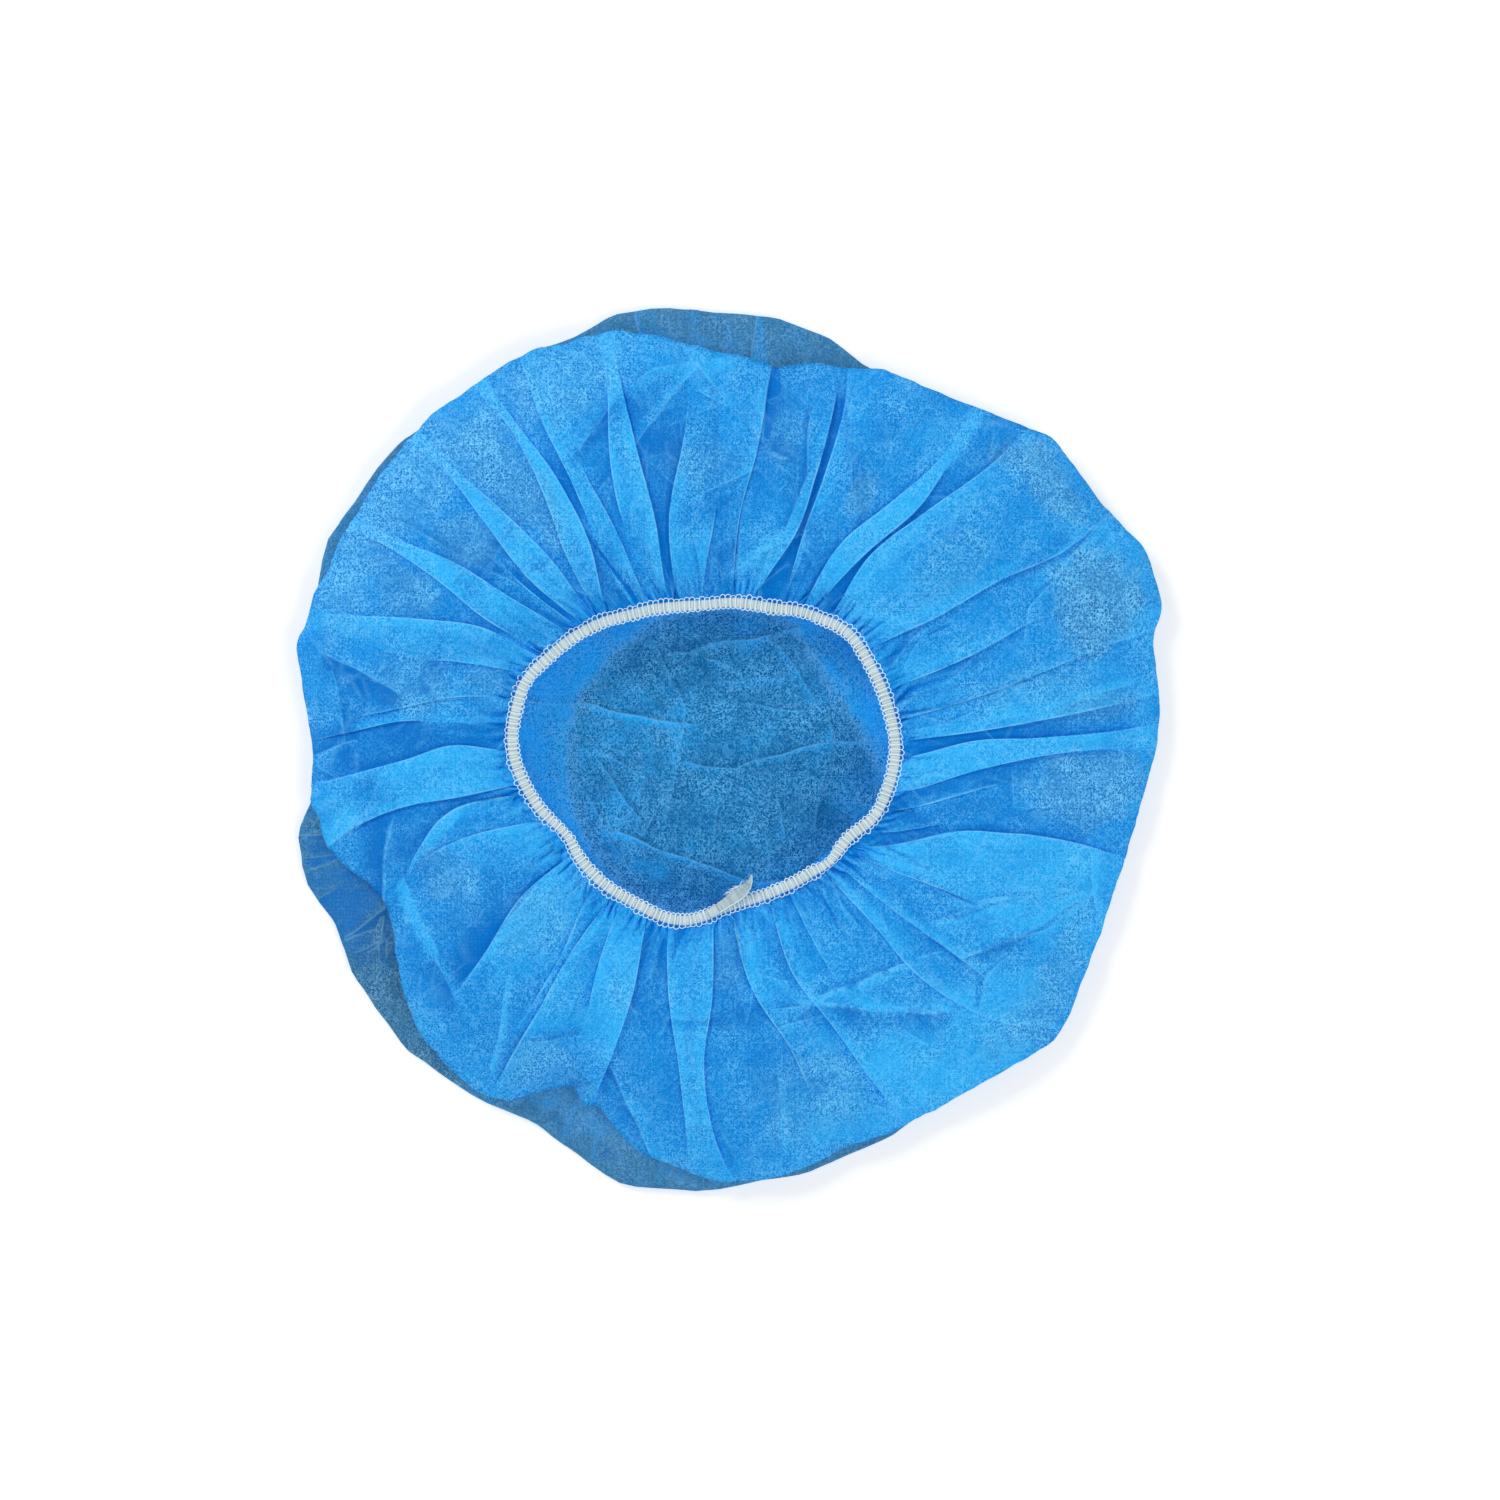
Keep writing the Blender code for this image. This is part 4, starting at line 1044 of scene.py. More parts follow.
# %% Rings of the crown
# Straight creases of the crown by their ends, in shares of CAP_RADIUS, with their height in millimetres.
CROWN_CREASES = table("from_x from_y to_x to_y height", (
    (-0.47, 0.115, -0.32, 0.1, 1.6), (-0.32, 0.1, -0.09, 0.053, 1.6), (-0.16, 0.22, 0.16, 0.277, 1.4),
    (0.02, -0.046, 0.16, 0.007, 1.3), (0.16, 0.007, 0.36, 0.023, 1.3), (-0.265, -0.19, -0.07, -0.265, 1.6),
    (-0.07, -0.265, 0.07, -0.31, 1.6), (0.07, -0.31, 0.16, -0.29, 1.6), (-0.2, 0.3, -0.1, 0.1, 0.8),
    (-0.1, 0.1, -0.14, -0.16, 0.7), (0.1, 0.26, 0.24, 0.05, 0.8), (0.24, 0.05, 0.2, -0.18, 0.7),
    (-0.3, 0, -0.12, -0.12, 0.6), (-0.02, 0.16, 0.14, 0.16, 0.6), (-0.22, 0.26, -0.02, 0.2, 1),
    (-0.1, -0.03, 0.02, -0.046, 1), (-0.31, -0.02, -0.2, -0.16, 0.9), (-0.14, -0.1, -0.2, -0.2, 0.8),
    (-0.02, -0.1, -0.04, -0.22, 0.7), (0.1, -0.06, 0.13, -0.2, 0.8), (-0.2, 0.14, -0.06, 0.23, 0.7),
    (0.05, 0.1, 0.2, 0.09, 0.8), (-0.3, 0.16, -0.18, 0.28, 0.6), (0.28, -0.02, 0.36, 0.1, 0.6),
    (-0.36, -0.06, -0.24, -0.26, 0.8), (0, -0.34, 0.14, -0.22, 0.6),
))
CROWN_CREASE_WIDTH = 11 * MM
CROWN_LIFT = 0.4 * MM  # the sheet's middle lies this high on the table
CROWN_MIDDLE = 2 * MM
INNER_REACH = 84 * MM  # the part of the crown that shows through the opening
INNER_RINGS = 40
OUTER_RINGS = 14
CLEAR_MIDDLE = (-1 * MM, -6 * MM)  # of the round place where the crown lies in a single layer on the table
CLEAR_RADIUS = 61 * MM
CLEAR_SIDE = ((26 * MM, 47 * MM), (58 * MM, -5 * MM))  # a straight fold that cuts it off on the right
SIDE_FOLD = 1.8 * MM  # half width of the pale edge of the doubled cloth


def doubled_crown(across, along):
    """How far a place lies beyond the fold of the doubled cloth at the crown's sides, under nought inside."""
    around_it = np.hypot(across - CLEAR_MIDDLE[0], along - CLEAR_MIDDLE[1]) - CLEAR_RADIUS
    beside, _ = line_distance(across, along, *CLEAR_SIDE)
    return np.maximum(around_it, beside) + 1.5 * MM * noise_field(across, along, 25 * MM, 51.0)


def crown_tone(across, along):
    """Bluer towards the sides, where the cloth is doubled."""
    folds = 0.35 * noise_field(across, along, 14 * MM, 53.0) + 0.2 * noise_field(across, along, 6 * MM, 57.0)
    return ramp(doubled_crown(across, along), -1 * MM, 2.5 * MM) + folds


def crown_pale(across, along):
    """The pale edge of the doubled cloth, lighter along its fold as a painted highlight."""
    return 0.75 * (1 - ramp(np.abs(doubled_crown(across, along)), 0.6 * SIDE_FOLD, 1.8 * SIDE_FOLD))


def crown_radii():
    """Radii of the crown's rings, from the lip's fold in to the middle."""
    outline = outline_radius(coarse_angle)
    fold_foot = outline - LIP_HEIGHT / 2
    outer = [fold_foot + (INNER_REACH - fold_foot) * step / OUTER_RINGS for step in range(1, OUTER_RINGS + 1)]
    inner = [np.full_like(outline, INNER_REACH + (CROWN_MIDDLE - INNER_REACH) * step / INNER_RINGS)
             for step in range(1, INNER_RINGS + 1)]
    return outer + inner


crown_lines = [
    ((CAP_RADIUS * row.from_x, CAP_RADIUS * row.from_y), (CAP_RADIUS * row.to_x, CAP_RADIUS * row.to_y),
     row.height * MM)
    for row in CROWN_CREASES
]

# %% All points of the cloth, ring by ring
# What each point knows for the material to read, with its value on bare cloth.
PAINTED = {
    "fold_edge": 0, "layers": 0, "valley": 0, "line_away": 2 * LINE_REACH, "line_strength": 0, "tone": 0,
    "thin_grey": 0, "thin_pale": 0, "gathered": 0,
}
Ring = namedtuple("Ring", ["x", "y", "z", *PAINTED])
rings = []


def turned_ring(radius, height, angle, **painted):
    """One ring of points with what is painted on it."""
    turn = np.radians(angle)
    values = {**PAINTED, "x": radius * np.cos(turn), "y": radius * np.sin(turn), "z": height, **painted}
    return Ring(**{name: value * np.ones_like(angle) for name, value in values.items()})


hem_angle = sheet.angle[0]
rim = mouth_radius(hem_angle) - ELASTIC_WIDTH / 2 + HEM_TURN
HEM_RUFFLE = 2.2 * MM  # the cut edge waves this deep under the elastic, with all its spare length in it
# The ridge of a gather gets a pale painted highlight and the trough between two gathers painted shade.
RIDGE_EDGE = 0.45  # how pale the ridge of a gather is, where a flap's edge is one
TROUGH_SHADE = 0.8  # how deep the valley between two gathers is
ruffle = HEM_RUFFLE * (0.6 - 0.5 * wave)
valley_left = 1 - 0.6 * ramp(WAYS, 0.25, 0.6)
rings.append(turned_ring(rim, hem_height(hem_angle) - ruffle, hem_angle))
rings.append(turned_ring(mouth_radius(hem_angle), hem_height(hem_angle) - 0.4 * ruffle, hem_angle))
for row in range(len(WAYS)):
    ridge = np.maximum(wave, 0) ** 2 * wave_left[row]
    trough = np.maximum(-wave, 0) ** 1.5 * wave_left[row]
    rings.append(turned_ring(
        seam_grid[row] + out_grid[row], upper_z[row], sheet.angle[row],
        fold_edge=np.maximum(sheet.edge[row], RIDGE_EDGE * ridge), layers=sheet.layers[row],
        valley=np.clip(sheet.valley[row] * valley_left[row] + TROUGH_SHADE * trough, 0, 1.2),
        line_away=crease_away[row], line_strength=crease_strength[row], tone=tone_grid[row],
        thin_grey=grey_grid[row], thin_pale=pale_grid[row], gathered=gathered_grid[row],
    ))

LIP_RELIEF, LIP_GATHERED = 0.4, 0.3
lip_start = len(rings)
for radius, height in lip_rings():
    across, along = radius * np.cos(coarse_turn), radius * np.sin(coarse_turn)
    rise, away, strength = crease_fields(across, along, lip_lines)
    tone, pale, grey = lip_tones(coarse_angle, radius)
    rings.append(turned_ring(
        radius, height + LIP_RELIEF * rise, coarse_angle, line_away=away, line_strength=strength, tone=tone,
        thin_grey=grey, thin_pale=pale, gathered=LIP_GATHERED,
    ))
crown_start = len(rings)
for radius in crown_radii():
    across, along = radius * np.cos(coarse_turn), radius * np.sin(coarse_turn)
    height, away, strength = crease_fields(across, along, crown_lines)
    settle = ramp(CAP_RADIUS - radius, 0, 0.03)
    soft = sum(
        rise * np.exp(-(np.hypot(*line_distance(across, along, start, end)) / CROWN_CREASE_WIDTH) ** 2)
        for start, end, rise in crown_lines
    )
    wrinkles = 0.45 * MM * crumple(across, along, 11.0) + 0.4 * MM * noise_field(across, along, 9 * MM, 61.0)
    lift = CROWN_LIFT + settle * np.maximum(0.4 * height + 0.6 * soft + wrinkles + 0.2 * MM, 0)
    rings.append(turned_ring(
        radius, lift, coarse_angle, line_away=away, line_strength=strength, tone=crown_tone(across, along),
        thin_pale=crown_pale(across, along),
    ))
print(len(rings), "rings,", sum(len(ring.x) for ring in rings), "points")

# %% Faces


def ring_faces(start, rows, count):
    """Faces between rings of the same count."""
    faces = []
    for row in range(rows - 1):
        low, high = start + row * count, start + (row + 1) * count
        for number in range(count):
            beside = (number + 1) % count
            faces.append((low + number, high + number, high + beside, low + beside))
    return faces


def reducing_faces(low, high, count):
    """Seven-sided faces from a ring of four times the count to one of the count."""
    faces = []
    for number in range(count):
        beside = (number + 1) % count
        fine = [low + (JOIN * number + step) % (JOIN * count) for step in range(JOIN + 1)]
        faces.append((*reversed(fine), high + number, high + beside))
    return faces


coarse = COLUMNS // JOIN
coarse_start = lip_start * COLUMNS
fold_ring = coarse_start + (crown_start - lip_start - 1) * coarse  # where the lip ends and the crown starts
faces = ring_faces(0, lip_start, COLUMNS)
upper_faces = len(faces)
faces += reducing_faces((lip_start - 1) * COLUMNS, coarse_start, coarse)
faces += ring_faces(coarse_start, crown_start - lip_start, coarse)
lip_faces = len(faces)
faces += ring_faces(fold_ring, len(rings) - crown_start + 1, coarse)
last_ring = coarse_start + (len(rings) - lip_start - 1) * coarse
points = np.column_stack([
    np.concatenate([ring.x for ring in rings]) + MIDDLE_X,
    np.concatenate([ring.y for ring in rings]) + MIDDLE_Y,
    np.concatenate([ring.z for ring in rings]),
])
centre = len(points)
points = np.vstack([points, [MIDDLE_X, MIDDLE_Y, float(rings[-1].z.mean())]])
faces += [(last_ring + number, centre, last_ring + (number + 1) % coarse) for number in range(coarse)]
cloth_mesh = bpy.data.meshes.new("bouffant_cloth")
cloth_mesh.from_pydata(points.tolist(), [], faces)
cloth_mesh.shade_smooth()
cloth = scene_object("bouffant_cloth", cloth_mesh)
for name, bare in PAINTED.items():
    values = np.concatenate([getattr(ring, name) for ring in rings] + [[bare]])
    cloth_mesh.attributes.new(name, "FLOAT", "POINT").data.foreach_set("value", values.astype(np.float32))

# %% The cloth's own map
# Seen from above, in metres, so that the fibres are the same size everywhere. The upper side and the crown
# take different stretches of the web, and on the lip's upright edge the map runs on outwards as the cloth
# goes down.
UNDER_SHIFT = 0.6
corner_points = np.empty(len(cloth_mesh.loops), np.int32)
cloth_mesh.loops.foreach_get("vertex_index", corner_points)
cloth_map = cloth_mesh.uv_layers.new(name="cloth plan")
plan = points[:, :2] + 0.5
outwards = points[:, :2] - (MIDDLE_X, MIDDLE_Y)
outwards /= np.maximum(np.hypot(*outwards.T), 1 * MM)[:, None]
plan[coarse_start:] += UNDER_SHIFT - outwards[coarse_start:] * points[coarse_start:, 2:]
cloth_map.data.foreach_set("uv", plan[corner_points].astype(np.float32).ravel())
triangles = sum(len(face) - 2 for face in faces)
print("cloth:", len(points), "points,", triangles, "triangles")

# %% [markdown]
# ## The finish of nonwoven cloth
# Spunbond nonwoven is a web of fine plastic fibres, pressed together at small dots. It is a little
# see-through, so cloth over cloth looks deeper blue, and the sharp edge of a flap catches a thin pale line
# of light. Seeing through many layers is slow to render and hard to carry to other programs, so the layers
# are painted instead: the mesh knows where cloth lies on cloth. Light and shade are painted too: pale lines
# along flap edges and creases are painted highlights, one side of a crease is painted lighter and the other
# darker, and valleys, gaps and the troughs of gathers get painted shade. One node group draws the fibres, one
# the dots and one the finest creases, for every cloth material.

# %% Fibre, dot and crease groups


def new_group(name, inputs, outputs):
    """A shader node group and its end nodes. An input is a number, or a vector where its value is None."""
    group = bpy.data.node_groups.new(name, "ShaderNodeTree")
    for socket_name, value in inputs.items():
        kind = "NodeSocketVector" if value is None else "NodeSocketFloat"
        socket = group.interface.new_socket(socket_name, in_out="INPUT", socket_type=kind)
        if value is not None:
            socket.default_value = value
    for socket_name in outputs:
        group.interface.new_socket(socket_name, in_out="OUTPUT", socket_type="NodeSocketFloat")
    return group, group.nodes.new("NodeGroupInput"), group.nodes.new("NodeGroupOutput")


STRAND_NOISES = ((1.0, 0.0), (1.35, 4.0), (1.8, 8.0))  # how many times finer, and the seed
STRAND_SHARPNESS, STRAND_SHARE = 16.0, 0.65
GRAIN_CONTRAST, CLOUD_CONTRAST = 2.2, 2.0


def fibre_web_group():
    """Fine curly fibres, an even grain, and cloudy thick and thin places."""
    group, start, end = new_group(
        "fibre web", {"Vector": None, "Curl size": 2.0 * MM, "Grain size": 0.6 * MM, "Cloud size": 6 * MM},
        ("Fibres", "Grain", "Clouds"),
    )
    add, less, times = sums(group)
    plan = start.outputs["Vector"]

    def web_noise(size, factor, detail, seed):
        """Noise about nought, whose hills are as wide as the named input."""
        scale = calculate(group, "DIVIDE", factor, start.outputs[size])
        values = {"Vector": plan, "Scale": scale, "Detail": detail, "Roughness": 0.6, "W": seed}
        return less(add_node(group, "ShaderNodeTexNoise", values, noise_dimensions="4D").outputs["Fac"], 0.5)

    # A thin band about the middle value of a noise runs in curls, as the fibres do.
    strands = 0.0
    for factor, seed in STRAND_NOISES:
        off_middle = calculate(group, "ABSOLUTE", web_noise("Curl size", factor, 1.0, seed))
        strand = less(1.0, times(off_middle, STRAND_SHARPNESS), True)
        strands = add(strands, times(strand, STRAND_SHARE), True)
    grain = add(times(web_noise("Grain size", 1.0, 2.0, 12.0), GRAIN_CONTRAST), 0.5, True)
    clouds = add(times(web_noise("Cloud size", 1.0, 3.0, 16.0), CLOUD_CONTRAST), 0.5, True)
    for value, name in ((strands, "Fibres"), (grain, "Grain"), (clouds, "Clouds")):
        group.links.new(value, end.inputs[name])
    return group


def bond_dots_group():
    """Staggered rows of small pressed dots."""
    group, start, end = new_group("bond dots", {"Vector": None, "Spacing": 1.5 * MM}, ("Dots",))
    _, less, times = sums(group)
    split = add_node(group, "ShaderNodeSeparateXYZ", {0: start.outputs["Vector"]})
    rate = calculate(group, "DIVIDE", math.pi, start.outputs["Spacing"])
    across, along = (calculate(group, "SINE", times(split.outputs[axis], rate)) for axis in "XY")
    height = calculate(group, "ABSOLUTE", times(across, along))
    group.links.new(times(less(height, 0.4), 2.2, True), end.inputs["Dots"])
    return group


AROUND_RADIUS = 0.1  # where the creases that run outwards have their true size
FACET_STRETCH, PLEAT_STRETCH = 2.2, 9.0  # how much longer than wide they are
CREASE_LINE = 0.6 * MM  # width of a drawn line
SHOWN_SCALE = 110.0


def cloth_creases_group():
    """Facets of cloth that was packed flat, the sharp lines between them and fine pleats.

    With Around at one they run outwards from Middle, with Around at nought they lie in all directions."""
    group, start, end = new_group(
        "cloth creases",
        {"Vector": None, "Middle": None, "Around": 1.0, "Facet size": 22 * MM, "Pleat size": 2.0 * MM},
        ("Facets", "Lines", "Pleats"),
    )
    add, less, times = sums(group)

    def vector_math(operation, *values):
        return add_node(group, "ShaderNodeVectorMath", dict(enumerate(values)), operation=operation)

    offset = vector_math("SUBTRACT", start.outputs["Vector"], start.outputs["Middle"]).outputs[0]
    radius = vector_math("LENGTH", offset).outputs["Value"]
    direction = add_node(group, "ShaderNodeSeparateXYZ", {0: vector_math("NORMALIZE", offset).outputs[0]})
    turned = [times(direction.outputs[axis], AROUND_RADIUS) for axis in "XY"]

    def running(stretch):
        """The place measured round and outwards, with all that runs outwards made longer by the stretch."""
        outwards = calculate(group, "DIVIDE", radius, stretch)
        run = add_node(group, "ShaderNodeCombineXYZ", {"X": turned[0], "Y": turned[1], "Z": outwards})
        either = add_node(group, "ShaderNodeMix", {
            0: start.outputs["Around"], 4: start.outputs["Vector"], 5: run.outputs[0],
        }, data_type="VECTOR")
        return either.outputs[1]

    place = running(FACET_STRETCH)
    scale = calculate(group, "DIVIDE", 1.0, start.outputs["Facet size"])
    facets, lines = 0.0, 0.0
    for factor, share in ((1.0, 0.6), (2.1, 0.4)):
        values = {"Vector": place, "Scale": times(scale, factor)}
        cells = add_node(group, "ShaderNodeTexVoronoi", values)
        tint = add_node(group, "ShaderNodeSeparateColor", {0: cells.outputs["Color"]}).outputs[0]
        facets = add(facets, times(tint, share))
        border = add_node(group, "ShaderNodeTexVoronoi", values, feature="DISTANCE_TO_EDGE")
        near = calculate(group, "DIVIDE", border.outputs["Distance"], times(values["Scale"], CREASE_LINE))
        lines = calculate(group, "MAXIMUM", lines, times(less(1.0, near, True), share + 0.3))
    values = {"Vector": place, "Scale": SHOWN_SCALE, "Detail": 1.0}
    shown = times(less(add_node(group, "ShaderNodeTexNoise", values).outputs["Fac"], 0.48), 7.0, True)
    pleat_scale = calculate(group, "DIVIDE", 1.0, start.outputs["Pleat size"])
    values = {"Vector": running(PLEAT_STRETCH), "Scale": pleat_scale, "Detail": 1.5, "Roughness": 0.6}
    pleat_noise = add_node(group, "ShaderNodeTexNoise", values).outputs["Fac"]
    folded = add(times(less(pleat_noise, 0.5), 2.6), 0.5, True)
    for value, name in ((facets, "Facets"), (times(lines, shown), "Lines"), (folded, "Pleats")):
        group.links.new(value, end.inputs[name])
    return group


FIBRE_WEB = fibre_web_group()
CLOTH_CREASES = cloth_creases_group()
BOND_DOTS = bond_dots_group()
print("node groups:", FIBRE_WEB.name, "/", CLOTH_CREASES.name, "/", BOND_DOTS.name)

# %% Cloth materials
Finish = namedtuple("Finish", [
    "deep", "middle", "bright", "grey", "pale", "dark_speck", "pale_speck", "speckle", "plain_speckle",
    "crease_sides", "dots", "around", "middle_place",
])
UPPER_MIDDLE = (0.5 + MIDDLE_X, 0.5 + MIDDLE_Y, 0)  # of the rings, on the cloth's own map
UNDER_MIDDLE = (0.5 + UNDER_SHIFT + MIDDLE_X, 0.5 + UNDER_SHIFT + MIDDLE_Y, 0)
PUFF_FINISH = Finish(
    linear(0, 115, 203), linear(0, 143, 228), linear(40, 181, 253), linear(56, 130, 191),
    linear(84, 168, 224), linear(0, 80, 154), linear(118, 206, 255), speckle=1.0, plain_speckle=0.62,
    crease_sides=1.0, dots=0.10, around=1, middle_place=UPPER_MIDDLE,
)
LIP_FINISH = Finish(
    linear(0, 106, 188), linear(44, 115, 164), linear(6, 140, 224), linear(40, 84, 116),
    linear(124, 192, 230), linear(8, 66, 116), linear(120, 176, 214), speckle=0.9, plain_speckle=0.7,
    crease_sides=1.0, dots=0.10, around=1, middle_place=UNDER_MIDDLE,
)
CROWN_FINISH = Finish(
    linear(0, 80, 138), linear(8, 116, 176), linear(12, 172, 252), linear(66, 134, 178), linear(90, 176, 228),
    linear(0, 60, 112), linear(96, 180, 232), speckle=1.35, plain_speckle=0.7, crease_sides=0.8, dots=0.06,
    around=0, middle_place=UNDER_MIDDLE,
)
# The pale line on a flap's edge is a painted highlight.
PALE_LINE = linear(116, 208, 255)  # the edge of a flap
# The cloth glows a little with its own colour: painted light that stands in for light coming through it.
GLOW = 0.22  # light that comes through the thin cloth from the white table
# The pale line along a crease is a painted highlight, and its two sides are painted lighter and darker.
LINE_WIDTH = 0.55 * MM  # half width of the pale line along a crease
SIDE_WIDTH = 3.4 * MM  # how wide it is brighter on one side of a crease and darker on the other
SIDE_LIT, SIDE_DARK = 0.75, 0.5
SIDE_SHARPNESS = 5.0
# How strongly a doubled layer, the clouds of the web, the small facets, the fine pleats and a valley change
# the tone. The facets and pleats are made lighter and darker as painted light and shade, and a valley is
# darkened as painted shade.
LAYER_TONE, CLOUD_TONE, SMALL_FACET_TONE, FINE_PLEAT_TONE, VALLEY_TONE = 0.3, 0.35, 0.55, 2.4, 0.35


def attribute_value(tree, name):
    return add_node(tree, "ShaderNodeAttribute", attribute_name=name).outputs["Fac"]


def mixed(tree, share, first, second):
    """Two colours mixed."""
    return add_node(tree, "ShaderNodeMix", {0: share, 6: first, 7: second}, data_type="RGBA").outputs[2]


def cloth_material(name, finish):
    """Blue nonwoven with its layers, folds, creases, fibres and dots, and painted light and shade."""
    material, tree, shader = new_material(name)
    add, less, times = sums(tree)

    def patches(scale, start, contrast):
        """Soft patches of a broad noise."""
        values = {"Vector": plan, "Scale": scale, "Detail": 2.0}
        return times(less(add_node(tree, "ShaderNodeTexNoise", values).outputs["Fac"], start), contrast, True)

    plan = add_node(tree, "ShaderNodeUVMap", uv_map="cloth plan").outputs[0]
    web = add_node(tree, "ShaderNodeGroup", {"Vector": plan}, node_tree=FIBRE_WEB)
    dots = add_node(tree, "ShaderNodeGroup", {"Vector": plan}, node_tree=BOND_DOTS)
    grey = attribute_value(tree, "thin_grey")
    pale = attribute_value(tree, "thin_pale")
    clouds = less(web.outputs["Clouds"], 0.5)
    doubled = times(attribute_value(tree, "layers"), LAYER_TONE)
    tone = add(attribute_value(tree, "tone"), add(doubled, times(clouds, CLOUD_TONE)))
    values = {"Vector": plan, "Middle": finish.middle_place, "Around": finish.around}
    creases = add_node(tree, "ShaderNodeGroup", values, node_tree=CLOTH_CREASES)
    gathered = attribute_value(tree, "gathered")
    # The small facets and fine pleats are lightened and darkened: painted light and shade.
    pleats_here = times(less(creases.outputs["Pleats"], 0.5), gathered)
    facets = times(less(creases.outputs["Facets"], 0.5), SMALL_FACET_TONE)
    tone = add(tone, add(facets, times(pleats_here, FINE_PLEAT_TONE)))
    # A valley beside a flap or between gathers is darkened: painted shade.
    tone = less(tone, times(attribute_value(tree, "valley"), VALLEY_TONE))
    away = attribute_value(tree, "line_away")
    strength = attribute_value(tree, "line_strength")
    # One side of a crease is lightened and the other darkened: painted light and shade.
    side = calculate(tree, "DIVIDE", away, SIDE_WIDTH)
    beside = less(1.0, calculate(tree, "ABSOLUTE", side), True)
    on_right = less(0.5, times(side, SIDE_SHARPNESS), True)
    sides = times(beside, less(times(on_right, SIDE_LIT + SIDE_DARK), SIDE_DARK))
    tone = add(tone, times(times(sides, strength), finish.crease_sides))
    thin = add(finish.plain_speckle, add(times(grey, 0.6), times(pale, 0.6)))
    thin = times(thin, less(1.0, times(gathered, 0.45), True))
    speckle = add(times(less(web.outputs["Fibres"], 0.35), 1.1), less(web.outputs["Grain"], 0.5))
    speckle = times(times(speckle, finish.speckle), thin)
    smooth_blue = less(1.0, times(tone, -0.7, True))
    speckle = times(speckle, times(add(0.6, patches(75.0, 0.36, 2.6)), smooth_blue))
    # The pale line along a crease is a painted highlight.
    near = less(1.0, calculate(tree, "DIVIDE", calculate(tree, "ABSOLUTE", away), LINE_WIDTH), True)
    # The flap's edge gets a patchy pale line: a painted highlight.
    painted_edge_highlight = times(attribute_value(tree, "fold_edge"), patches(90.0, 0.32, 3.4), True)
    # Deep and bright come partly from doubled cloth and partly from the painted shade and light above.
    colour = mixed(tree, times(tone, -1.0, True), finish.middle, finish.deep)
    for share, over in (
        (times(tone, 1.0, True), finish.bright),
        (times(pale, add(0.35, times(clouds, 0.6)), True), finish.pale),
        (times(grey, add(0.75, times(clouds, 0.35)), True), finish.grey),
        (times(speckle, 1.0, True), finish.pale_speck),
        (times(speckle, -1.0, True), finish.dark_speck),
        (times(dots.outputs["Dots"], times(thin, finish.dots), True), finish.pale),
        # The web's crease lines and the charted creases are drawn pale, as painted highlights.
        (times(creases.outputs["Lines"], 0.2), finish.pale_speck),
        (times(near, times(strength, 0.5), True), finish.pale_speck),
        (times(gathered, 0.45), finish.middle),
        (painted_edge_highlight, PALE_LINE),
    ):
        colour = mixed(tree, share, colour, over)
    height = less(add(web.outputs["Fibres"], web.outputs["Grain"]), times(dots.outputs["Dots"], 0.6))
    bump = add_node(tree, "ShaderNodeBump", {"Strength": 0.8, "Distance": 0.16 * MM, "Height": height})
    folded = add(times(times(creases.outputs["Pleats"], gathered), 2.0), times(creases.outputs["Lines"], 0.5))
    values = {"Strength": 0.7, "Distance": 0.5 * MM, "Height": folded, "Normal": bump.outputs["Normal"]}
    set_inputs(tree, shader, {
        "Base Color": colour, "Emission Color": colour, "Emission Strength": GLOW, "Roughness": 0.65,
        "Specular IOR Level": 0.06, "Normal": add_node(tree, "ShaderNodeBump", values).outputs["Normal"],
    })
    return material


for material_name, finish in (
    ("puffed nonwoven", PUFF_FINISH), ("flat lip nonwoven", LIP_FINISH), ("crown nonwoven", CROWN_FINISH)
):
    cloth_mesh.materials.append(cloth_material(material_name, finish))
face_materials = np.zeros(len(faces), np.int32)
face_materials[upper_faces:lip_faces] = 1
face_materials[lip_faces:] = 2
cloth_mesh.polygons.foreach_set("material_index", face_materials)
cloth_mesh.update()
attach(cloth, "root")
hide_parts("cap_cloth")

# %% [markdown]
# ## The elastic
# The elastic is a narrow flat band with a rib across it at every stitch, sewn on stretched, so that it
# draws the cloth together when it is let go. An array of boxes would bend badly round the ring. Geometry
# Nodes sweep one flat profile along the ring instead and push every rib out of it, and a second tree sets a
# stitch on the ring at each rib. Both trees end in plain meshes, because instances don't survive an export to
# other programs.

# %% The ring that the elastic follows
STITCHES = 214
RIBS = 321
POINTS_PER_RIB = 5
BAND_WIDTH = 0.0035  # between the threads of its two edges, which take up the rest of ELASTIC_WIDTH
# Places where the ring leaves its smooth curve or narrows because it twists, by angle and half width in
# degrees. Out is in millimetres and width a share of BAND_WIDTH.
RING_KINKS = table("angle half_width out width", (
    (161, 9, 1, 1), (206, 9, -0.9, 0.8), (216, 8, 0.6, 1), (236, 12, -0.4, 1), (311, 8, 1.3, 0.72),
    (325, 9, -1.6, 1), (338, 7, 0.4, 0.95), (62, 9, 0.5, 0.92), (96, 12, -0.4, 0.9), (128, 10, -0.5, 1),
))


def bump(distance, half_width):
    """A soft hill, one high in its middle and nought from its half width on."""
    share = np.minimum(np.abs(distance) / half_width, 1)
    return (1 - share * share) ** 2


def ring_point(degrees, out=0.0, up=0.0):
    """A point beside the ring's centre line, with the kinks."""
    kinks = sum(row.out * MM * bump(around(degrees, row.angle), row.half_width) for row in RING_KINKS)
    radius = mouth_radius(degrees) + kinks + out
    turn = np.radians(degrees)
    height = hem_height(degrees) + CLEARANCE + up
    return MIDDLE_X + radius * np.cos(turn), MIDDLE_Y + radius * np.sin(turn), height


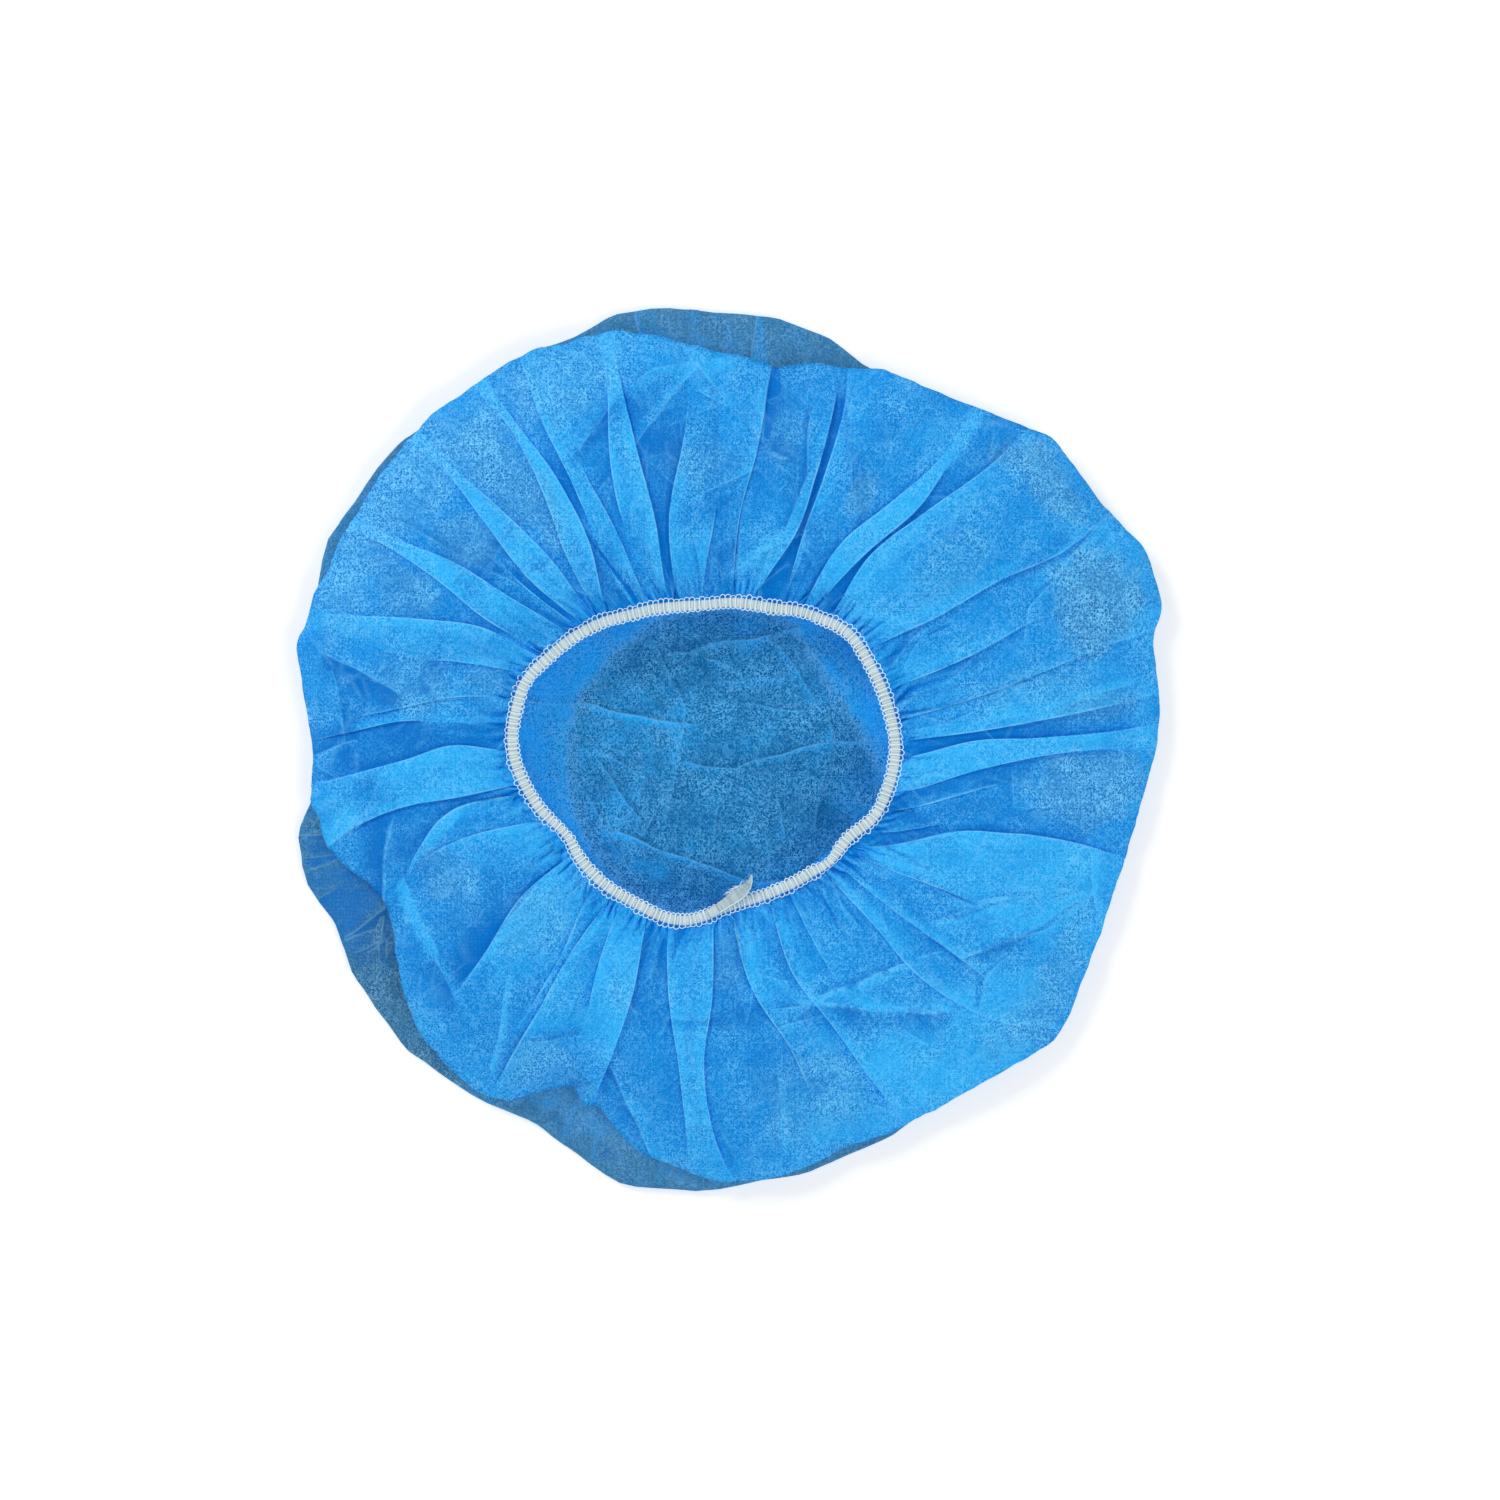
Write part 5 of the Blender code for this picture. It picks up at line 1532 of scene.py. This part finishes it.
def path_object(name, path_points, closed, widths):
    """A mesh of edges alone, which the trees turn into a curve, with its width share on each point."""
    count = len(path_points)
    edges = [(number, (number + 1) % count) for number in range(count if closed else count - 1)]
    mesh = bpy.data.meshes.new(name)
    mesh.from_pydata([tuple(map(float, point)) for point in path_points], edges, [])
    shares = mesh.attributes.new("width_share", "FLOAT", "POINT")
    shares.data.foreach_set("value", np.asarray(widths, np.float32))
    return scene_object(name, mesh)


RING_POINTS = 360
ring_degrees = np.arange(RING_POINTS) * 360 / RING_POINTS
ring_widths = np.ones(RING_POINTS)
for row in RING_KINKS:
    ring_widths -= (1 - row.width) * bump(around(ring_degrees, row.angle), row.half_width)
ring_line = np.column_stack(ring_point(ring_degrees, up=ELASTIC_THICKNESS / 2))
ring_steps = ring_line - np.roll(ring_line, 1, axis=0)
ring_length = 1000 * float(np.linalg.norm(ring_steps, axis=1).sum())
print("elastic ring", round(ring_length), "mm round, a stitch every", round(ring_length / STITCHES, 2))

# %% Helpers for Geometry Nodes


def modifier_tree(name, inputs):
    """A tree for a modifier with a geometry in and out and named inputs."""
    tree = bpy.data.node_groups.new(name, "GeometryNodeTree")
    tree.interface.new_socket("Geometry", in_out="INPUT", socket_type="NodeSocketGeometry")
    for socket_name, kind in inputs.items():
        tree.interface.new_socket(socket_name, in_out="INPUT", socket_type="NodeSocket" + kind)
    tree.interface.new_socket("Geometry", in_out="OUTPUT", socket_type="NodeSocketGeometry")
    return tree, tree.nodes.new("NodeGroupInput"), tree.nodes.new("NodeGroupOutput")


def end_tree(tree, geometry, material, end):
    """Every tree ends with smooth faces, its instances made real and its material set."""
    node = first_output(tree)
    real = node("GeometryNodeRealizeInstances", {0: node("GeometryNodeSetShadeSmooth", {0: geometry})})
    set_inputs(tree, end, {0: node("GeometryNodeSetMaterial", {"Geometry": real, "Material": material})})


def run_tree(obj, tree, values, name):
    """Runs the tree on the object and returns its result as a plain mesh object in place of it."""
    modifier = obj.modifiers.new(tree.name, "NODES")
    modifier.node_group = tree
    for item in tree.interface.items_tree:
        if item.in_out == "INPUT" and item.name in values:
            modifier[item.identifier] = values[item.name]
    evaluated = obj.evaluated_get(bpy.context.evaluated_depsgraph_get())
    mesh = bpy.data.meshes.new_from_object(evaluated)
    obj.modifiers.remove(modifier)
    mesh.name = name
    bpy.data.objects.remove(obj)
    triangles = sum(len(face.vertices) - 2 for face in mesh.polygons)
    print(name, len(mesh.vertices), "points,", triangles, "triangles")
    return scene_object(name, mesh)


# %% The finish of the elastic and its threads


def elastic_material():
    """Rubber strands wound with thread, painted shade between the ribs, and thinner towards a torn end."""
    material, tree, shader = new_material("cream elastic")
    _, less, times = sums(tree)
    place = add_node(tree, "ShaderNodeTexCoord").outputs["Object"]
    values = {"Vector": place, "Curl size": 1.0 * MM, "Grain size": 0.4 * MM}
    web = add_node(tree, "ShaderNodeGroup", values, node_tree=FIBRE_WEB)
    colour = mixed(tree, web.outputs["Clouds"], linear(206, 229, 227), linear(240, 252, 250))
    thin = mixed(tree, web.outputs["Clouds"], linear(136, 176, 190), linear(204, 226, 226))
    colour = mixed(tree, attribute_value(tree, "thinness"), colour, thin)
    # Darker where the ribs dip: painted shade between them.
    painted_groove_shade = times(less(1.0, attribute_value(tree, "rib")), 0.85, True)
    colour = mixed(tree, painted_groove_shade, colour, linear(118, 156, 168))
    colour = mixed(tree, times(web.outputs["Fibres"], 0.25), colour, linear(252, 252, 246))
    values = {"Strength": 0.5, "Distance": 0.15 * MM, "Height": web.outputs["Fibres"]}
    normal = add_node(tree, "ShaderNodeBump", values).outputs["Normal"]
    set_inputs(tree, shader, {"Base Color": colour, "Roughness": 0.7, "Normal": normal})
    return material


# The thread glows a little: painted light that keeps it white.
THREAD_GLOW = 0.18
TWIST_SCALE = 2600.0


def thread_material():
    """White sewing thread with a fine twist, which glows a little as painted light."""
    material, tree, shader = new_material("white thread")
    place = add_node(tree, "ShaderNodeTexCoord").outputs["Object"]
    values = {"Vector": place, "Scale": TWIST_SCALE, "Detail": 1.0}
    twist = add_node(tree, "ShaderNodeTexNoise", values).outputs["Fac"]
    colour = mixed(tree, twist, linear(206, 236, 250), linear(244, 252, 255))
    values = {"Strength": 0.4, "Distance": 0.05 * MM, "Height": twist}
    set_inputs(tree, shader, {
        "Base Color": colour, "Emission Color": colour, "Emission Strength": THREAD_GLOW, "Roughness": 0.55,
        "Normal": add_node(tree, "ShaderNodeBump", values).outputs["Normal"],
    })
    return material


CREAM_ELASTIC = elastic_material()
WHITE_THREAD = thread_material()

# %% The tree of the ribbed band
RIB_SWINGS = ((22, 0.9), (58, 0.6))  # how often the ribs draw together and apart on the way, and how far


def ribbed_band_tree():
    """Sweeps a flat rounded profile along a path and raises a rib at each stitch."""
    tree, start, end = modifier_tree("ribbed band", {
        "Ribs": "Int", "Points": "Int", "Width": "Float", "Thickness": "Float", "Rib height": "Float",
        "Thinness": "Float", "Material": "Material",
    })
    (add, _, times), node, value = sums(tree), first_output(tree), start.outputs
    curve = node("GeometryNodeMeshToCurve", {0: value["Geometry"]})
    even = node("GeometryNodeResampleCurve", {"Curve": curve, "Count": value["Points"]})
    level = node("GeometryNodeSetCurveNormal", {"Curve": even}, mode="Z_UP")
    marked = tree.nodes.new("GeometryNodeCaptureAttribute")
    marked.capture_items.new("FLOAT", "place")
    set_inputs(tree, marked, {"Geometry": level, "place": node("GeometryNodeSplineParameter")})
    place = marked.outputs["place"]
    circle = node("GeometryNodeCurvePrimitiveCircle", {"Resolution": 12, "Radius": 0.5})
    size = node("ShaderNodeCombineXYZ", {"X": value["Width"], "Y": value["Thickness"], "Z": 1.0})
    swept = node("GeometryNodeCurveToMesh", {
        "Curve": marked.outputs["Geometry"], "Fill Caps": True,
        "Profile Curve": node("GeometryNodeTransform", {"Geometry": circle, "Scale": size}),
        "Scale": node("GeometryNodeInputNamedAttribute", {"Name": "width_share"}, data_type="FLOAT"),
    })
    turns = times(times(place, value["Ribs"]), math.pi)
    for waves, size in RIB_SWINGS:
        turns = add(turns, times(calculate(tree, "SINE", times(place, waves * math.pi)), size))
    rib = calculate(tree, "POWER", calculate(tree, "ABSOLUTE", calculate(tree, "SINE", turns)), 0.6)
    values = {0: node("GeometryNodeInputNormal"), "Scale": times(rib, value["Rib height"])}
    push = node("ShaderNodeVectorMath", values, operation="SCALE")
    kept = node("GeometryNodeSetPosition", {"Geometry": swept, "Offset": push})
    for name, stored in (("rib", rib), ("thinness", times(place, value["Thinness"]))):
        values = {"Geometry": kept, "Name": name, "Value": stored}
        kept = node("GeometryNodeStoreNamedAttribute", values, data_type="FLOAT")
    end_tree(tree, kept, value["Material"], end)
    return tree


RIBBED_BAND = ribbed_band_tree()
band = run_tree(path_object("elastic_path", ring_line, True, ring_widths), RIBBED_BAND, {
    "Ribs": RIBS, "Points": RIBS * POINTS_PER_RIB, "Width": BAND_WIDTH,
    "Thickness": 0.8 * MM, "Rib height": 0.2 * MM, "Thinness": 0.0, "Material": CREAM_ELASTIC,
}, "ribbed_elastic")

# %% The tree of the overlock stitches
# One stitch, in millimetres. Along runs with the ring, out is away from the opening's middle, up is above
# the cloth. The thread comes over the band, makes a small loop at its inner edge and goes back under it. A
# second thread runs along the outside.
CROSSING_THREAD = table("along out up", (
    (0, 2.6, 0.2), (0.05, 2.2, 0.45), (0.1, 1.7, 0.92), (0.12, 0.9, 1.1), (0.15, -0.7, 1.1),
    (0.1, -1.6, 0.98), (0.25, -2.25, 0.62), (0.95, -2.7, 0.42), (1.65, -2.25, 0.62), (1.85, -1.6, 0.95),
    (2, -1.2, 1.08),
))
CHAIN_THREAD = table("along out up", (
    (0, 2.5, 0.25), (0.4, 2.9, 0.42), (0.95, 3.15, 0.5), (1.5, 2.95, 0.42), (1.95, 2.5, 0.25),
))
THREAD_RADIUS = 0.21 * MM
CHAIN_RADIUS = 0.17 * MM
LONGEST_STITCH = 1.06  # against the charted one


def thread_shape(name, thread):
    """The thread of one stitch as a mesh of edges, with y towards the opening's middle."""
    places = [(row.along * MM, -row.out * MM, row.up * MM - ELASTIC_THICKNESS / 2) for row in thread]
    mesh = bpy.data.meshes.new(name)
    mesh.from_pydata(places, [(number, number + 1) for number in range(len(places) - 1)], [])
    return scene_object(name, mesh)


def repeated_thread_tree():
    """Sets a thread shape at even steps along a path, turned with it, each a little different."""
    tree, start, end = modifier_tree("repeated thread", {
        "Count": "Int", "Shape": "Object", "Thread radius": "Float", "Looseness": "Float", "Seed": "Int",
        "Material": "Material",
    })
    (add, less, _), node, value = sums(tree), first_output(tree), start.outputs
    curve = node("GeometryNodeMeshToCurve", {0: value["Geometry"]})
    even = node("GeometryNodeResampleCurve", {"Curve": curve, "Count": value["Count"]})
    shape = add_node(tree, "GeometryNodeObjectInfo", {"Object": value["Shape"]}).outputs["Geometry"]
    values = {"Resolution": 5, "Radius": value["Thread radius"]}
    thread = node("GeometryNodeCurveToMesh", {
        "Curve": node("GeometryNodeMeshToCurve", {0: shape}), "Fill Caps": True,
        "Profile Curve": node("GeometryNodeCurvePrimitiveCircle", values),
    })
    values = {"Primary Axis": (0.0, 0.0, 1.0), "Secondary Axis": node("GeometryNodeInputTangent")}
    rotation = node("FunctionNodeAxesToRotation", values, primary_axis="Z", secondary_axis="X")
    smaller, larger = less(1.0, value["Looseness"]), add(1.0, value["Looseness"])
    low = node("ShaderNodeCombineXYZ", {"X": 1.0, "Y": smaller, "Z": smaller})
    high = node("ShaderNodeCombineXYZ", {"X": LONGEST_STITCH, "Y": larger, "Z": larger})
    values = {0: low, 1: high, "Seed": value["Seed"]}
    loose = node("FunctionNodeRandomValue", values, data_type="FLOAT_VECTOR")
    share = node("GeometryNodeInputNamedAttribute", {"Name": "width_share"}, data_type="FLOAT")
    narrow = node("ShaderNodeCombineXYZ", {"X": 1.0, "Y": share, "Z": 1.0})
    placed = node("GeometryNodeInstanceOnPoints", {
        "Points": even, "Instance": thread, "Rotation": rotation,
        "Scale": node("ShaderNodeVectorMath", {0: loose, 1: narrow}, operation="MULTIPLY"),
    })
    end_tree(tree, placed, value["Material"], end)
    return tree


REPEATED_THREAD = repeated_thread_tree()


def stitches_round(name, thread, radius, looseness, seed):
    """One thread with a stitch beside every rib."""
    shape = thread_shape(name + "_shape", thread)
    made = run_tree(path_object(name + "_path", ring_line, True, ring_widths), REPEATED_THREAD, {
        "Count": STITCHES, "Shape": shape, "Thread radius": radius, "Looseness": looseness,
        "Seed": seed, "Material": WHITE_THREAD,
    }, name)
    bpy.data.objects.remove(shape)
    return made


stitches = stitches_round("overlock_stitches", CROSSING_THREAD, THREAD_RADIUS, 0.09, 5)
chain = stitches_round("chain_stitches", CHAIN_THREAD, CHAIN_RADIUS, 0.16, 9)

# %% [markdown]
# ## The loose end of the elastic
# The band was cut after it was sewn round, and its first centimetre and a half isn't sewn down. It stands
# up over the opening as a torn point: flat ribbed rubber that narrows, with a hard white edge on one side
# and loose threads on the other. It is swept along its own short path, and the threads are small bent
# tubes.

# %% The torn point and its threads
END_ANGLE = 264
END_LENGTH = 0.018
END_LIFT = 0.0035
# Along the ring and inward are shares of END_LENGTH, lift of END_LIFT and width of BAND_WIDTH.
LOOSE_END = table("along inward width lift", (
    (-0.06, 0, 0.95, 0), (0.15, 0.04, 1.05, 0.03), (0.38, 0.11, 1.18, 0.1), (0.57, 0.17, 1.3, 0.22),
    (0.73, 0.23, 1.2, 0.42), (0.86, 0.31, 0.88, 0.66), (0.95, 0.4, 0.48, 0.88), (1.01, 0.52, 0.06, 1),
))


def end_point(along, inward, lift):
    """A point of the loose end from its shares."""
    degrees = END_ANGLE + math.degrees(along * END_LENGTH / float(mouth_radius(END_ANGLE)))
    up = ELASTIC_THICKNESS + 2 * CLEARANCE + END_LIFT * lift
    return tuple(float(value) for value in ring_point(degrees, -inward * END_LENGTH, up))


end_path = path_object(
    "end_path", [end_point(row.along, row.inward, row.lift) for row in LOOSE_END], False,
    column(LOOSE_END, "width"),
)
loose_end = run_tree(end_path, RIBBED_BAND, {
    "Ribs": 10, "Points": 56, "Width": BAND_WIDTH, "Thickness": 0.5 * MM, "Rib height": 0.12 * MM,
    "Thinness": 1.0, "Material": CREAM_ELASTIC,
}, "loose_elastic_end")

# Threads that hang out of the torn side, as shares of END_LENGTH along and inward, from their root to their
# tip.
LOOSE_THREADS = table("along inward tip_along tip_inward lift", (
    (0.76, 0.38, 0.3, 0.33, 0.6), (0.72, 0.36, 0.36, 0.36, 0.6), (0.66, 0.33, 0.26, 0.31, 0.5),
    (0.6, 0.31, 0.25, 0.28, 0.5), (0.56, 0.29, 0.3, 0.25, 0.4), (0.8, 0.4, 0.48, 0.38, 0.7),
    (0.86, 0.44, 0.64, 0.41, 0.8), (0.5, 0.26, 0.34, 0.22, 0.4), (0.64, 0.32, 0.42, 0.34, 0.5),
    (0.58, 0.3, 0.38, 0.27, 0.4), (0.74, 0.37, 0.52, 0.37, 0.6), (0.62, 0.31, 0.32, 0.3, 0.5),
))
THREAD_POINTS = 7


def bent_thread(row, number):
    """Points of one loose thread, bent sideways in the middle."""
    bent = []
    for step in range(THREAD_POINTS):
        share = step / (THREAD_POINTS - 1)
        side = 0.03 * math.sin(math.pi * (1 + 0.3 * number) * share) * math.sin(2.1 * number + 1)
        along = row.along + (row.tip_along - row.along) * share + side
        inward = row.inward + (row.tip_inward - row.inward) * share - side
        bent.append(end_point(along, inward, row.lift * (0.35 + 0.65 * share)))
    return bent


def tube_mesh(name, paths_of_points, radius, material):
    """Thin tubes along paths, as one mesh."""
    curve = bpy.data.curves.new(name, "CURVE")
    curve.dimensions = "3D"
    curve.bevel_depth = radius
    curve.bevel_resolution = 1
    curve.use_fill_caps = True
    for path_points in paths_of_points:
        spline = curve.splines.new("POLY")
        spline.points.add(len(path_points) - 1)
        for point, place in zip(spline.points, path_points):
            point.co = (*place, 1)
    holder = scene_object(name, curve)
    mesh = bpy.data.meshes.new_from_object(holder.evaluated_get(bpy.context.evaluated_depsgraph_get()))
    bpy.data.objects.remove(holder)
    mesh.name = name
    mesh.materials.clear()
    mesh.materials.append(material)
    mesh.shade_smooth()
    return scene_object(name, mesh)


EDGE_OUT = 0.48 * BAND_WIDTH / END_LENGTH  # from the middle of the loose end to its right edge, as a share


def end_edge(edge_out):
    """Points along the loose end's right edge, where two white threads run."""
    edge = []
    for before, row, after in zip(LOOSE_END, LOOSE_END[1:], LOOSE_END[2:] + LOOSE_END[-1:]):
        ahead, inward = after.along - before.along, after.inward - before.inward
        out = edge_out * row.width / math.hypot(ahead, inward)
        edge.append(end_point(row.along + out * inward, row.inward - out * ahead, row.lift + 0.08))
    return edge


thread_paths = [bent_thread(row, number) for number, row in enumerate(LOOSE_THREADS)]
thread_paths += [end_edge(EDGE_OUT), end_edge(1.1 * EDGE_OUT)]
loose_threads = tube_mesh("loose_threads", thread_paths, 0.08 * MM, WHITE_THREAD)
print("loose threads", len(loose_threads.data.vertices), "points")

for piece in (band, stitches, chain, loose_end, loose_threads):
    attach(piece, "root")
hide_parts("elastic_band")
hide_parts("elastic_end")
